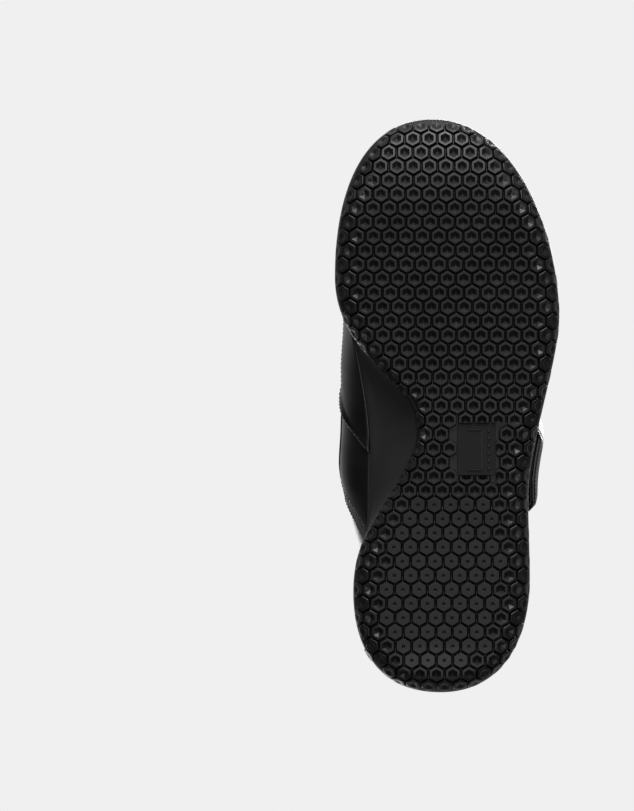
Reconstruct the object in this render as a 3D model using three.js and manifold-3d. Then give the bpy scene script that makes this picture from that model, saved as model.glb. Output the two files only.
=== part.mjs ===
// Low-cut leather strap shoe for the left foot, built piece by piece as a shoemaker cuts it.
// Millimetres, +Z up. The shoe stands on its sole at z = 0, the toe points along -Y and the
// outer (lateral) side faces +X. Every pattern line below is drawn for the base size and is
// graded to SOLE_LENGTH and SOLE_WIDTH; thicknesses and gaps are real sizes and are not graded.
import * as THREE from 'three';
import { mergeVertices } from 'three/addons/utils/BufferGeometryUtils.js';
import Module from 'manifold-3d';

// ---- Driving dimensions ----
const SOLE_LENGTH = 288;
const SOLE_WIDTH = 113;
const UPPER_HEIGHT = 104; // top of the instep line above the ground
const CLEARANCE = 0.3; // between two pieces that touch
const LAYER_GAP = 0.5; // between two curved layers of the upper

const OUTSOLE_SKIN = 4.2;
const EDGE_ROLL = 12; // how far in from the outline the outsole starts to turn up
const EDGE_HEIGHT = 10; // how high the turned-up edge stands
const ARCH_ROLL = 6; // the same two sizes along the cut-out under the arch
const ARCH_EDGE = 5;
const FOREFOOT_STACK = 15; // ground to the top of the midsole
const HEEL_STACK = 26;
const TOE_SPRING = 14;
const HEEL_BEVEL = 5;
const LIP = 1.5; // how far the midsole's top edge stands outside the upper

const LEATHER = 1.6;
const OVERLAY = 1.6;
const STIFFENER = 1.2;
const LINING = 0.9;
const TOE_ROOM = 0.2; // extra gap for the puff under the sharply curved toe
const COLLAR_FOAM = 4.6;
const TONGUE_FOAM = 3;
const TONGUE_SKIN = 1.1;

const BOARD = 2;
const SOCKLINER = 4;
const HEEL_CUSHION = 1.8;
const BOARD_INSET = 6.5; // from the upper's bottom edge to the board, so it clears the linings
const SHANK = { width: 16, thickness: 1.2, from: -22, to: 78 };

const STRAP_WIDTH = 41;
const STRAP_LEATHER = 1.7;
const STRAP_LINING = 0.8;
const HOOK = 1.2;
const LOOP = 1.2;

// ---- Pattern grading ----
const BASE_LENGTH = 288;
const BASE_WIDTH = 113;
const BASE_HEIGHT = 104;
const gradeX = SOLE_WIDTH / BASE_WIDTH;
const gradeY = SOLE_LENGTH / BASE_LENGTH;
const gradeZ = UPPER_HEIGHT / BASE_HEIGHT;

// ---- Small maths helpers ----
const mix = (a, b, k) => a + (b - a) * k;
const clamp = (v, lo, hi) => Math.min(hi, Math.max(lo, v));
function ease(v, lo, hi) {
  const k = clamp((v - lo) / (hi - lo), 0, 1);
  return k * k * (3 - 2 * k);
}

// A smooth line through [position, value] stations, level beyond its two ends.
function profile(stations) {
  const slope = stations.map((p, i) => {
    const a = stations[Math.max(0, i - 1)];
    const b = stations[Math.min(stations.length - 1, i + 1)];
    return (b[1] - a[1]) / (b[0] - a[0]);
  });
  return (v) => {
    const x = clamp(v, stations[0][0], stations.at(-1)[0]);
    let i = 0;
    while (i < stations.length - 2 && x > stations[i + 1][0]) i += 1;
    const [x0, y0] = stations[i];
    const [x1, y1] = stations[i + 1];
    const w = x1 - x0;
    const k = (x - x0) / w;
    const k2 = k * k;
    const k3 = k2 * k;
    return (2 * k3 - 3 * k2 + 1) * y0 + (k3 - 2 * k2 + k) * w * slope[i]
      + (3 * k2 - 2 * k3) * y1 + (k3 - k2) * w * slope[i + 1];
  };
}

// ---- Plan outlines ----
// Each knot is [x, y, direction x, direction y, handle before, handle after]. A closed outline
// starts at the toe tip, runs down the inner side to the heel tip and back up the outer side.
const SOLE_KNOTS = [
  [-7, -144, -1, 0, 43, 32], [-56.2, -64.5, 0, 1, 48.5, 22], [-34, -18.5, 0.66, 0.75, 16, 16],
  [-15, 12, 0, 1, 14, 12], [-33, 51, -0.52, 0.85, 18, 14], [-47, 93.5, 0, 1, 20, 27],
  [-3, 144, 1, 0, 32.5, 29], [41.8, 86.5, 0, -1, 33.5, 12], [41, 45, 0, -1, 14, 24],
  [56.6, -44.5, 0, -1, 21, 39],
];
const UPPER_KNOTS = [
  [-7, -138, -1, 0, 34, 28], [-50, -68, 0, 1, 38, 26], [-37, 22, 0, 1, 34, 20],
  [-39.5, 95, 0, 1, 20, 22], [-3, 138, 1, 0, 20, 21], [34.8, 92, 0, -1, 24, 16],
  [37.5, 40, 0.03, -1, 16, 26], [50.5, -50, 0, -1, 24, 40],
];

function bezier(a, b, c, d, k) {
  const m = 1 - k;
  return m * m * m * a + 3 * m * m * k * b + 3 * m * k * k * c + k * k * k * d;
}

class Outline {
  constructor(knots, grow = 0) {
    this.halves = [[], []];
    const heel = knots.findIndex((knot) => knot[1] === Math.max(...knots.map((k) => k[1])));
    const step = 1 / 60;
    knots.forEach((a, i) => {
      const b = knots[(i + 1) % knots.length];
      const unitA = 1 / Math.hypot(a[2], a[3]);
      const unitB = 1 / Math.hypot(b[2], b[3]);
      for (let k = 0; k < 1 + step / 2; k += step) {
        const x = bezier(a[0], a[0] + a[2] * unitA * a[5], b[0] - b[2] * unitB * b[4], b[0], k);
        const y = bezier(a[1], a[1] + a[3] * unitA * a[5], b[1] - b[3] * unitB * b[4], b[1], k);
        this.halves[i < heel ? 0 : 1].push([x * gradeX, y * gradeY]);
      }
    });
    this.halves[1].reverse();
    this.toe = knots[0][1] * gradeY;
    this.heel = knots[heel][1] * gradeY;
    this.grow = grow;
  }

  // Where a side of the outline is at a given y: side 0 is the inner one, 1 the outer one.
  xAt(side, y) {
    const line = this.halves[side];
    let lo = 0;
    let hi = line.length - 1;
    while (hi - lo > 1) {
      const mid = (lo + hi) >> 1;
      if (line[mid][1] <= y) lo = mid;
      else hi = mid;
    }
    const span = line[hi][1] - line[lo][1];
    return span < 1e-9 ? line[lo][0] : mix(line[lo][0], line[hi][0], (y - line[lo][1]) / span);
  }

  // phi runs from -1 (heel tip) through the inner side to 0 (toe tip) and on to 1 (heel tip).
  raw(phi) {
    let wrapped = phi;
    if (wrapped > 1) wrapped -= 2;
    if (wrapped < -1) wrapped += 2;
    const s = Math.abs(wrapped);
    const y = mix(this.toe, this.heel, (1 - Math.cos(Math.PI * s)) / 2);
    return [this.xAt(wrapped < 0 ? 0 : 1, y), y];
  }

  at(phi, inset = 0) {
    const [x, y] = this.raw(phi);
    const d = 0.004;
    const a = this.raw(phi - d);
    const b = this.raw(phi + d);
    const size = Math.hypot(b[0] - a[0], b[1] - a[1]);
    const nx = -(a[1] - b[1]) / size;
    const ny = (a[0] - b[0]) / size;
    const out = this.grow - inset;
    return { x: x + nx * out, y: y + ny * out, nx, ny };
  }
}

const soleLine = new Outline(SOLE_KNOTS);
const upperLine = new Outline(UPPER_KNOTS);
const lipLine = new Outline(UPPER_KNOTS, LIP);

// The place along an outline, 0 at the toe and 1 at the heel, for a y of the base pattern.
function station(y) {
  const k = (y * gradeY - upperLine.toe) / (upperLine.heel - upperLine.toe);
  return Math.acos(1 - 2 * clamp(k, 0, 1)) / Math.PI;
}
const innerSide = (y) => -station(y);
const outerSide = (y) => station(y);

// ---- Heights along the shoe ----
const toSoleY = (y) => y / gradeY;
function groundLine(y) {
  const p = toSoleY(y);
  const spring = TOE_SPRING * Math.max(0, (-85 - p) / 59) ** 2;
  const bevel = HEEL_BEVEL * Math.max(0, (p - 118) / 26) ** 2;
  const waist = 1.2 * ease(p, -10, 12) * (1 - ease(p, 38, 60));
  return spring + bevel + waist;
}
const stackShare = profile([[-144, 0], [-40, 0.02], [0, 0.36], [40, 0.7], [95, 0.94], [144, 1]]);
function bedLine(y) {
  const spring = 0.8 * TOE_SPRING * Math.max(0, (-85 - toSoleY(y)) / 59) ** 2;
  return mix(FOREFOOT_STACK, HEEL_STACK, stackShare(toSoleY(y))) + spring;
}

// ---- Closed solids from two matching grids ----
// outer(u, v) and inner(u, v) are the two faces. An edge of the grid gets a wall between the
// faces, unless it is listed in folds: there the two halves of the edge lie on each other.
function slab(nu, nv, outer, inner, folds = []) {
  const points = [];
  const faces = [outer, inner].map((face) => {
    const rows = [];
    for (let i = 0; i <= nu; i += 1) {
      const row = [];
      for (let j = 0; j <= nv; j += 1) {
        row.push(points.length);
        points.push(face(i / nu, j / nv));
      }
      rows.push(row);
    }
    return rows;
  });
  const triangles = [];
  const quad = (a, b, c, d) => triangles.push([a, b, c], [a, c, d]);
  const [top, bottom] = faces;
  for (let i = 0; i < nu; i += 1) {
    for (let j = 0; j < nv; j += 1) {
      quad(top[i][j], top[i + 1][j], top[i + 1][j + 1], top[i][j + 1]);
      quad(bottom[i][j], bottom[i][j + 1], bottom[i + 1][j + 1], bottom[i + 1][j]);
    }
  }
  for (let i = 0; i < nu; i += 1) {
    if (!folds.includes('v0')) quad(top[i][0], bottom[i][0], bottom[i + 1][0], top[i + 1][0]);
    if (!folds.includes('v1')) quad(top[i + 1][nv], bottom[i + 1][nv], bottom[i][nv], top[i][nv]);
  }
  for (let j = 0; j < nv; j += 1) {
    if (!folds.includes('u0')) quad(top[0][j + 1], bottom[0][j + 1], bottom[0][j], top[0][j]);
    if (!folds.includes('u1')) quad(top[nu][j], bottom[nu][j], bottom[nu][j + 1], top[nu][j + 1]);
  }
  return closedGeometry(points, triangles);
}

function closedGeometry(points, triangles) {
  const raw = new THREE.BufferGeometry();
  raw.setAttribute('position', new THREE.BufferAttribute(new Float32Array(points.flat()), 3));
  raw.setIndex(triangles.flat());
  const merged = mergeVertices(raw, 1e-3);
  const index = merged.index.array;
  const place = merged.attributes.position;
  const kept = [];
  let volume = 0;
  const [a, b, c] = [new THREE.Vector3(), new THREE.Vector3(), new THREE.Vector3()];
  for (let i = 0; i < index.length; i += 3) {
    const [p, q, r] = [index[i], index[i + 1], index[i + 2]];
    if (p !== q && q !== r && r !== p) {
      kept.push([p, q, r]);
      a.fromBufferAttribute(place, p);
      b.fromBufferAttribute(place, q);
      c.fromBufferAttribute(place, r);
      volume += a.dot(b.cross(c));
    }
  }
  if (volume < 0) kept.forEach((face) => face.reverse());
  merged.setIndex(kept.flat());
  return merged;
}

const wasm = await Module();
wasm.setup();
function solid(geometry) {
  const vertProperties = new Float32Array(geometry.attributes.position.array);
  const triVerts = new Uint32Array(geometry.index.array);
  return new wasm.Manifold(new wasm.Mesh({ numProp: 3, vertProperties, triVerts }));
}
function geometryOf(manifold) {
  const mesh = manifold.getMesh();
  const geometry = new THREE.BufferGeometry();
  geometry.setAttribute('position', new THREE.BufferAttribute(mesh.vertProperties, 3));
  geometry.setIndex(new THREE.BufferAttribute(mesh.triVerts, 1));
  return geometry;
}
const cut = (geometry, tool) => geometryOf(solid(geometry).subtract(solid(tool)));

// ---- Sole unit ----
// One row of the sole runs across the shoe: in from the inner edge over the turned-up roll,
// over the flat middle, and out over the roll on the other side.
const ROLL_STOPS = [0, 0.06, 0.22, 0.5, 1];
const MIDDLE_STOPS = [0.25, 0.5, 0.75];
const ACROSS = ROLL_STOPS.length * 2 + MIDDLE_STOPS.length - 1;
const ALONG = 34;

const archShare = (phi, y) => (phi < 0
  ? ease(toSoleY(y), -46, -14) * (1 - ease(toSoleY(y), 40, 76)) : 0);

// side -1 or 1, roll 0 at the edge to 1 where the flat begins; depth 0 is the ground face.
function rollPoint(phi, roll, depth, raise) {
  const edge = soleLine.at(phi);
  const arch = archShare(phi, edge.y);
  const width = mix(EDGE_ROLL, ARCH_ROLL, arch);
  const height = mix(EDGE_HEIGHT, ARCH_EDGE, arch);
  const inset = depth + (width - depth) * roll;
  const p = soleLine.at(phi, inset);
  const bend = 1 - Math.sqrt(1 - (1 - roll) ** 2);
  const z = groundLine(p.y) + depth + (height - depth) * bend + raise;
  return [p.x, p.y, z];
}

function acrossSole(u, v, depth, raise) {
  const j = Math.round(v * ACROSS);
  const last = ROLL_STOPS.length - 1;
  if (j <= last) return rollPoint(-u, ROLL_STOPS[j], depth, raise);
  if (j >= ACROSS - last) return rollPoint(u, ROLL_STOPS[ACROSS - j], depth, raise);
  const a = rollPoint(-u, 1, depth, raise);
  const b = rollPoint(u, 1, depth, raise);
  const k = MIDDLE_STOPS[j - last - 1];
  const y = mix(a[1], b[1], k);
  return [mix(a[0], b[0], k), y, groundLine(y) + depth + raise];
}

function makeOutsole() {
  const ground = (u, v) => acrossSole(u, v, 0, 0);
  const inside = (u, v) => acrossSole(u, v, OUTSOLE_SKIN, 0);
  return slab(ALONG, ACROSS, ground, inside, ['u0', 'u1']);
}

// The midsole fills the dish of the outsole and rises from its rim to the lip under the upper.
const FLANK_STOPS = [0, 0.12, 0.5, 0.88];
const MIDSOLE_ACROSS = ACROSS + 2 * (FLANK_STOPS.length + 1);
const RIM_INSET = 0.8;

function flankPoint(phi, k) {
  const lip = lipLine.at(phi);
  const rim = soleLine.at(phi, RIM_INSET);
  const arch = archShare(phi, rim.y);
  const lipZ = bedLine(lip.y) - 1.6;
  const rimZ = groundLine(rim.y) + mix(EDGE_HEIGHT, ARCH_EDGE, arch) + CLEARANCE;
  const hollow = Math.sin(Math.PI * k) * mix(0.4, 2.2, arch);
  return [mix(lip.x, rim.x, k) - rim.nx * hollow, mix(lip.y, rim.y, k), mix(lipZ, rimZ, k)];
}

function makeMidsole() {
  const flanks = FLANK_STOPS.length;
  const under = (u, v) => {
    const j = Math.round(v * MIDSOLE_ACROSS);
    if (j < flanks) return flankPoint(-u, FLANK_STOPS[j]);
    if (j > MIDSOLE_ACROSS - flanks) return flankPoint(u, FLANK_STOPS[MIDSOLE_ACROSS - j]);
    if (j === flanks) return flankPoint(-u, 1);
    if (j === MIDSOLE_ACROSS - flanks) return flankPoint(u, 1);
    return acrossSole(u, (j - flanks - 1) / ACROSS, OUTSOLE_SKIN + CLEARANCE, CLEARANCE);
  };
  const bed = (u, v) => {
    const a = lipLine.at(-u);
    const b = lipLine.at(u);
    const y = mix(a.y, b.y, v);
    return [mix(a.x, b.x, v), y, bedLine(y) - CLEARANCE];
  };
  return slab(ALONG, MIDSOLE_ACROSS, under, bed, ['u0', 'u1']);
}

// A flat layer over the bed, inset from the upper's edge, between two heights above the bed.
function bedLayer(from, to, inset, low, high, along = 20, across = 4) {
  const [first, last] = [station(from), station(to)];
  const level = (rise) => (u, v) => {
    const s = mix(first, last, u);
    const a = upperLine.at(-s, inset);
    const b = upperLine.at(s, inset);
    const y = mix(a.y, b.y, v);
    return [mix(a.x, b.x, v), y, bedLine(y) + rise(y)];
  };
  const folds = [];
  if (from <= toSoleY(upperLine.toe)) folds.push('u0');
  if (to >= toSoleY(upperLine.heel)) folds.push('u1');
  return slab(along, across, level(high), level(low), folds);
}

const heelLift = (y) => (HEEL_CUSHION + CLEARANCE) * ease(toSoleY(y), 30, 56);
const TOE_END = -138;
const HEEL_END = 138;

function shankBody(grow) {
  const half = SHANK.width / 2 + grow;
  const [from, to] = [SHANK.from * gradeY - grow, SHANK.to * gradeY + grow];
  const level = (rise) => (u, v) => {
    const y = mix(from, to, u);
    return [mix(-half, half, v) - 1, y, bedLine(y) + rise];
  };
  const top = grow > 0 ? 1 : -CLEARANCE;
  return slab(12, 2, level(top), level(-CLEARANCE - SHANK.thickness - grow));
}

// ---- Upper surface ----
// A rib is the line up the outside of the upper from its bottom edge, over its widest point,
// to the instep line at the front or to the collar at the back. share t runs 0 to 1 up a rib.
const WIDEST = 0.35;
const instepX = profile([[-110, -6], [-50, -2], [0, -3], [50, -3]]);
const instepZ = profile([[-112, 45], [-85, 57], [-50, 67], [-20, 79], [0, 87], [20, 96], [42, 104]]);
const instepY = profile([[-138, -104], [-120, -97], [-100, -85], [-70, -63], [-40, -38],
  [0, -6], [20, 12], [40, 31], [60, 42]]);
const collarZ = profile([[30, 97], [55, 83], [85, 74], [110, 79], [130, 91], [138, 95]]);
const collarInset = profile([[30, 14], [60, 9], [100, 7.5], [130, 7], [138, 7]]);
const widestHeight = profile([[-138, 9], [-90, 11], [-45, 16], [0, 18], [60, 18], [138, 22]]);
const innerBulge = profile([[-138, 1.5], [-100, 1.5], [-60, 0.6], [-42, 3.2], [-20, 9.2], [10, 13.7],
  [36, 14.6], [60, 8.2], [82, 2.2], [138, 3]]);
const outerBulge = profile([[-138, 1.5], [-100, 1.5], [-50, 0.6], [-17, 1.8], [0, 2.3], [12, 1.9],
  [34, 1.2], [60, 1.2], [138, 3]]);
const collarShare = (p) => ease(p, 36, 76);

function ribPoint(phi, t, closedFront = false) {
  const foot = upperLine.at(phi);
  const p = toSoleY(foot.y);
  const side = phi < 0 || phi > 1 ? innerBulge : outerBulge;
  const bulge = side(p);
  const rise = widestHeight(p);
  const bed = bedLine(foot.y);
  const wide = [foot.x + foot.nx * bulge, foot.y + foot.ny * bulge, bed + rise];
  if (t < WIDEST) {
    const k = t / WIDEST;
    const flare = 0.55 * bulge;
    const a = [foot.x + foot.nx * flare, foot.y + foot.ny * flare, bed + rise * 0.28];
    return [0, 1, 2].map((i) => {
      const start = i === 0 ? foot.x : i === 1 ? foot.y : bed;
      return bezier(start, a[i], i === 2 ? wide[2] - rise * 0.4 : wide[i], wide[i], k);
    });
  }
  const k = (t - WIDEST) / (1 - WIDEST);
  const yTop = instepY(p) * gradeY;
  const share = closedFront ? 0 : collarShare(p);
  const ridge = [instepX(toSoleY(yTop)) * gradeX, yTop, instepZ(toSoleY(yTop)) * gradeZ];
  const inset = collarInset(p);
  const collar = [foot.x - foot.nx * inset, foot.y - foot.ny * inset, collarZ(p) * gradeZ];
  const top = ridge.map((v, i) => mix(v, collar[i], share));
  const dx = wide[0] - ridge[0];
  const dy = wide[1] - ridge[1];
  const span = Math.hypot(dx, dy);
  const slope = (instepZ(toSoleY(yTop) + 1) - instepZ(toSoleY(yTop) - 1)) / 2 * gradeZ / gradeY;
  const reach = span * 0.52;
  const flat = [dx / span * reach, dy / span * reach, dy / span * reach * slope];
  const steep = [foot.nx * 2, foot.ny * 2, -(collar[2] - wide[2]) * 0.35];
  const handle = flat.map((v, i) => mix(v, steep[i], share));
  const lift = (top[2] - wide[2]) * mix(0.5, 0.35, share);
  return top.map((v, i) => bezier(wide[i], wide[i] + (i === 2 ? lift : 0), v + handle[i], v, k));
}

function ribNormal(phi, t, closedFront) {
  const d = 0.004;
  const onRidge = t > 1 - 1e-6 && (closedFront || collarShare(toSoleY(upperLine.at(phi).y)) === 0);
  if (onRidge) {
    const a = ribPoint(Math.abs(phi) - d, 1, true);
    const b = ribPoint(Math.abs(phi) + d, 1, true);
    const n = new THREE.Vector3(0, a[2] - b[2], b[1] - a[1]);
    return n.normalize();
  }
  const t0 = Math.max(0, t - d);
  const t1 = Math.min(1, t + d);
  const a = new THREE.Vector3(...ribPoint(phi - d, t, closedFront));
  const b = new THREE.Vector3(...ribPoint(phi + d, t, closedFront));
  const c = new THREE.Vector3(...ribPoint(phi, t0, closedFront));
  const e = new THREE.Vector3(...ribPoint(phi, t1, closedFront));
  return b.sub(a).cross(e.sub(c)).normalize();
}

function onUpper(phi, t, out, closedFront = false) {
  const p = ribPoint(phi, t, closedFront);
  const n = ribNormal(phi, t, closedFront);
  return [p[0] + n.x * out, p[1] + n.y * out, p[2] + n.z * out];
}

// A layer of the upper. from(v) and to(v) are places round the upper, low(phi) and high(phi)
// shares up the rib, and outer and inner offsets from the leather's outside face.
function layer({ from, to, low, high, outer, inner, nu, nv, folds, closedFront }) {
  const face = (offset) => (u, v) => {
    const phi = mix(from(v), to(v), u);
    const t = mix(low(phi), high(phi), v);
    return onUpper(phi, t, offset(t, phi), closedFront);
  };
  return slab(nu, nv, face(outer), face(inner), folds);
}
const fixed = (value) => () => value;
const patternY = (phi) => toSoleY(upperLine.at(phi).y);

// ---- Front of the upper ----
const THROAT = -52; // pattern y where the vamp ends and the quarters begin
const PUFF_SHARE = 2 / 3; // how much of the vamp the toe puff backs
const SEAM = 0.5; // gap between two panels that meet edge to edge

const FRONT_RIBS = 30;
// share says how much of the vamp, counted from the toe, the layer covers.
function frontShell(outer, inner, share = 1) {
  return layer({
    from: fixed(innerSide(THROAT) * share), to: fixed(outerSide(THROAT) * share),
    low: fixed(0), high: fixed(1), outer: fixed(outer), inner: fixed(inner),
    nu: Math.round(FRONT_RIBS * share), nv: 6, folds: ['v1'],
  });
}

// ---- Back of the upper ----
// Up to the throat's edge beside the tongue at the front, up to the collar at the back.
const THROAT_EDGE = 0.8;
const quarterTop = (phi) => mix(THROAT_EDGE, 1, collarShare(patternY(phi)));

// The quarters run round the heel in phi past 1, so one layer can wrap the heel.
const aroundHeel = (y) => 2 - station(y);

const padDepth = (t) => (COLLAR_FOAM + LAYER_GAP) * ease(t, 0.44, 0.6);
const liningStart = LEATHER + STIFFENER + 2 * LAYER_GAP;

// ---- Strap ----
// along runs -1 at the anchor on the inner side, 0 on the instep line, 1 at the free end.
const STRAP_ANCHOR_SHARE = 0.44;
const STRAP_END_SHARE = 0.16;
const strapFront = profile([[-1, -3], [-0.4, -17], [0, -21], [0.4, -11], [0.78, 10.5], [1, 11]]);
function strapPlace(along, across, trim) {
  const end = along < 0 ? STRAP_ANCHOR_SHARE : STRAP_END_SHARE;
  const t = 1 - Math.abs(along) * (1 - end);
  const y = strapFront(along) + mix(trim, STRAP_WIDTH - trim, across) / gradeY;
  return [along < 0 ? innerSide(y) : outerSide(y), t];
}
const hookOut = LOOP + 2 * LAYER_GAP;
const strapStand = (along) => mix(LAYER_GAP, hookOut + HOOK + CLEARANCE, ease(along, -0.9, -0.3));
function strapLayer(first, last, low, high, trim, nu) {
  const face = (rise) => (u, v) => {
    const along = mix(first, last, u);
    const [phi, t] = strapPlace(along, v, trim);
    return onUpper(phi, t, strapStand(along) + rise);
  };
  return slab(nu, 4, face(high), face(low));
}
function patchLayer(first, last, low, high, trim, nu) {
  const face = (rise) => (u, v) => {
    const [phi, t] = strapPlace(mix(first, last, u), v, trim);
    return onUpper(phi, t, rise);
  };
  return slab(nu, 4, face(high), face(low));
}

// ---- Tongue ----
const TONGUE_FRONT = -49;
const TONGUE_BACK = 54;
const TONGUE_SIDE = 0.82;
function tongueLayer(low, high, trim) {
  const face = (depth) => (u, v) => {
    const y = mix(TONGUE_FRONT + trim, TONGUE_BACK - trim, u);
    const side = 2 * v - 1;
    const t = 1 - Math.abs(side) * (1 - TONGUE_SIDE) * (1 - trim * 0.04);
    return onUpper(side < 0 ? innerSide(y) : outerSide(y), t, -depth, true);
  };
  return slab(10, 6, face(low), face(high));
}

// ---- Assembly ----
const shoe = new THREE.Group();
shoe.name = 'strap_shoe_left';

const FINISH = {
  rubber: { color: 0x161616, roughness: 0.62, metalness: 0 },
  foam: { color: 0x1b1b1c, roughness: 0.85, metalness: 0 },
  leather: { color: 0x101011, roughness: 0.34, metalness: 0 },
  ribbed: { color: 0x19191a, roughness: 0.7, metalness: 0 },
  lining: { color: 0x1f1f21, roughness: 0.9, metalness: 0 },
  board: { color: 0x6b5b45, roughness: 0.95, metalness: 0 },
  steel: { color: 0x8a8c90, roughness: 0.35, metalness: 1 },
  fastener: { color: 0x141415, roughness: 0.95, metalness: 0 },
};
function add(name, finish, geometry) {
  const mesh = new THREE.Mesh(geometry, new THREE.MeshStandardMaterial(FINISH[finish]));
  mesh.name = name;
  shoe.add(mesh);
}

// Sole unit and the layers under the foot.
add('outsole', 'rubber', makeOutsole());
add('midsole', 'foam', cut(makeMidsole(), shankBody(CLEARANCE)));
add('shank', 'steel', shankBody(0));
add('insole_board', 'board', bedLayer(TOE_END, HEEL_END, BOARD_INSET, fixed(0), fixed(BOARD)));
const cushionBase = BOARD + CLEARANCE;
add('heel_cushion', 'foam', bedLayer(62, HEEL_END, BOARD_INSET + 4, fixed(cushionBase),
  fixed(cushionBase + HEEL_CUSHION), 8, 4));
add('sockliner', 'lining', bedLayer(TOE_END, HEEL_END, BOARD_INSET, (y) => cushionBase + heelLift(y),
  (y) => cushionBase + heelLift(y) + SOCKLINER));

// Front of the upper.
add('vamp', 'leather', frontShell(0, -LEATHER));
const puffOut = -LEATHER - LAYER_GAP;
add('toe_puff', 'board', frontShell(puffOut, puffOut - STIFFENER, PUFF_SHARE));
const vampLiningOut = -liningStart - TOE_ROOM;
add('vamp_lining', 'lining', frontShell(vampLiningOut, vampLiningOut - LINING));

// Back of the upper.
function quarter(side) {
  const near = side(THROAT + SEAM);
  const heel = side(HEEL_END) - Math.sign(near) * 0.004;
  return layer({
    from: fixed(near), to: fixed(heel), low: fixed(0), high: quarterTop,
    outer: fixed(0), inner: fixed(-LEATHER), nu: 20, nv: 7,
  });
}
add('inner_quarter', 'leather', quarter(innerSide));
add('outer_quarter', 'leather', quarter(outerSide));
add('quarter_lining', 'lining', layer({
  from: fixed(outerSide(THROAT + SEAM)), to: fixed(aroundHeel(THROAT + SEAM)), low: fixed(0),
  high: quarterTop,
  outer: (t, phi) => -liningStart - padDepth(t) * collarShare(patternY(phi)),
  inner: (t, phi) => -liningStart - LINING - padDepth(t) * collarShare(patternY(phi)),
  nu: 36, nv: 6,
}));
add('counter_stiffener', 'board', layer({
  from: fixed(outerSide(84)), to: fixed(aroundHeel(84)), low: fixed(0), high: fixed(0.62),
  outer: fixed(puffOut), inner: fixed(puffOut - STIFFENER), nu: 14, nv: 4,
}));
add('collar_pad', 'foam', layer({
  from: fixed(outerSide(72)), to: fixed(aroundHeel(72)), low: fixed(0.68), high: fixed(0.98),
  outer: fixed(-liningStart), inner: fixed(-liningStart - COLLAR_FOAM + LAYER_GAP), nu: 20, nv: 3,
}));

// Overlays on the outside of the upper.
const overlayOut = OVERLAY + LAYER_GAP;
function overlay(name, finish, side, [frontLow, frontHigh], [rearLow, rearHigh], top, nu) {
  add(name, finish, layer({
    from: (v) => side(mix(frontLow, frontHigh, v)), to: (v) => side(mix(rearLow, rearHigh, v)),
    low: fixed(0.1), high: fixed(top), outer: fixed(overlayOut), inner: fixed(LAYER_GAP),
    nu, nv: 5,
  }));
}
const OVERLAY_TOP = 0.38;
overlay('inner_front_overlay', 'leather', innerSide, [-37, -42], [24, -5], OVERLAY_TOP, 12);
overlay('inner_rear_overlay', 'leather', innerSide, [24 + SEAM, -5 + SEAM], [65, 38], OVERLAY_TOP, 10);
overlay('inner_ribbed_band', 'ribbed', innerSide, [65 + SEAM, 38 + SEAM], [73, 47], OVERLAY_TOP, 3);
overlay('outer_front_overlay', 'leather', outerSide, [-37, -42], [6, 2], OVERLAY_TOP, 10);
add('heel_overlay', 'leather', layer({
  from: (v) => outerSide(mix(88, 118, v)), to: (v) => aroundHeel(mix(88, 118, v)),
  low: fixed(0.06), high: fixed(0.84), outer: fixed(overlayOut), inner: fixed(LAYER_GAP),
  nu: 18, nv: 6,
}));
add('heel_pull_tab', 'ribbed', layer({
  from: fixed(outerSide(136.6)), to: fixed(aroundHeel(136.6)), low: fixed(0.86), high: fixed(1),
  outer: fixed(overlayOut), inner: fixed(LAYER_GAP), nu: 4, nv: 4,
}));

// Tongue.
const tongueTop = CLEARANCE;
const foamTop = tongueTop + TONGUE_SKIN + CLEARANCE;
const tongueUnder = foamTop + TONGUE_FOAM + CLEARANCE;
add('tongue_cover', 'leather', tongueLayer(tongueTop, tongueTop + TONGUE_SKIN, 0));
add('tongue_foam', 'foam', tongueLayer(foamTop, foamTop + TONGUE_FOAM, 2));
add('tongue_lining', 'lining', tongueLayer(tongueUnder, tongueUnder + LINING, 0));

// Strap with its hook-and-loop fastener.
add('strap', 'leather', strapLayer(-1, 1, STRAP_LINING + CLEARANCE,
  STRAP_LINING + CLEARANCE + STRAP_LEATHER, 0, 20));
add('strap_lining', 'lining', strapLayer(-0.9, 1, 0, STRAP_LINING, 1.2, 19));
add('hook_patch', 'fastener', patchLayer(0.6, 1, hookOut, hookOut + HOOK, 3, 4));
add('loop_patch', 'fastener', patchLayer(0.5, 1, LAYER_GAP, LAYER_GAP + LOOP, 4, 5));

export default shoe;
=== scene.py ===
"""The looks of a left-foot leather strap shoe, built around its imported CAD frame.

The pattern lines below are the ones the CAD model is drawn from, so every piece made here lies
on its CAD solid. Pattern sizes are in millimetres; meshes are in metres, in the row frame:
+Z up, toe towards -Y, outer side towards +X, sole on the ground at z = 0.
"""
import math

import bmesh
import bpy
import numpy as np
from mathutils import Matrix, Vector


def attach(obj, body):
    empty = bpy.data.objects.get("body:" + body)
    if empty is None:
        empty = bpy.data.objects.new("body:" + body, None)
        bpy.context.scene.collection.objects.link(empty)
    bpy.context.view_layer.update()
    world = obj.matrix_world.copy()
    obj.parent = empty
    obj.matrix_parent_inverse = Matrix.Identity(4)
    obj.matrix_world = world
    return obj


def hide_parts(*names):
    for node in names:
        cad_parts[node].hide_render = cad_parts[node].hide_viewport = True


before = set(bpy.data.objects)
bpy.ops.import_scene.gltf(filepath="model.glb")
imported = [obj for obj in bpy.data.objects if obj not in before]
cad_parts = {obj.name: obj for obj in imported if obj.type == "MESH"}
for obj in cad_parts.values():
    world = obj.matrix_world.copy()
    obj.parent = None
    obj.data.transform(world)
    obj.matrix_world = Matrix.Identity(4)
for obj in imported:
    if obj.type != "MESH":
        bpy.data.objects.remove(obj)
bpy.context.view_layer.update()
scene = bpy.context.scene
MM = 0.001

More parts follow.
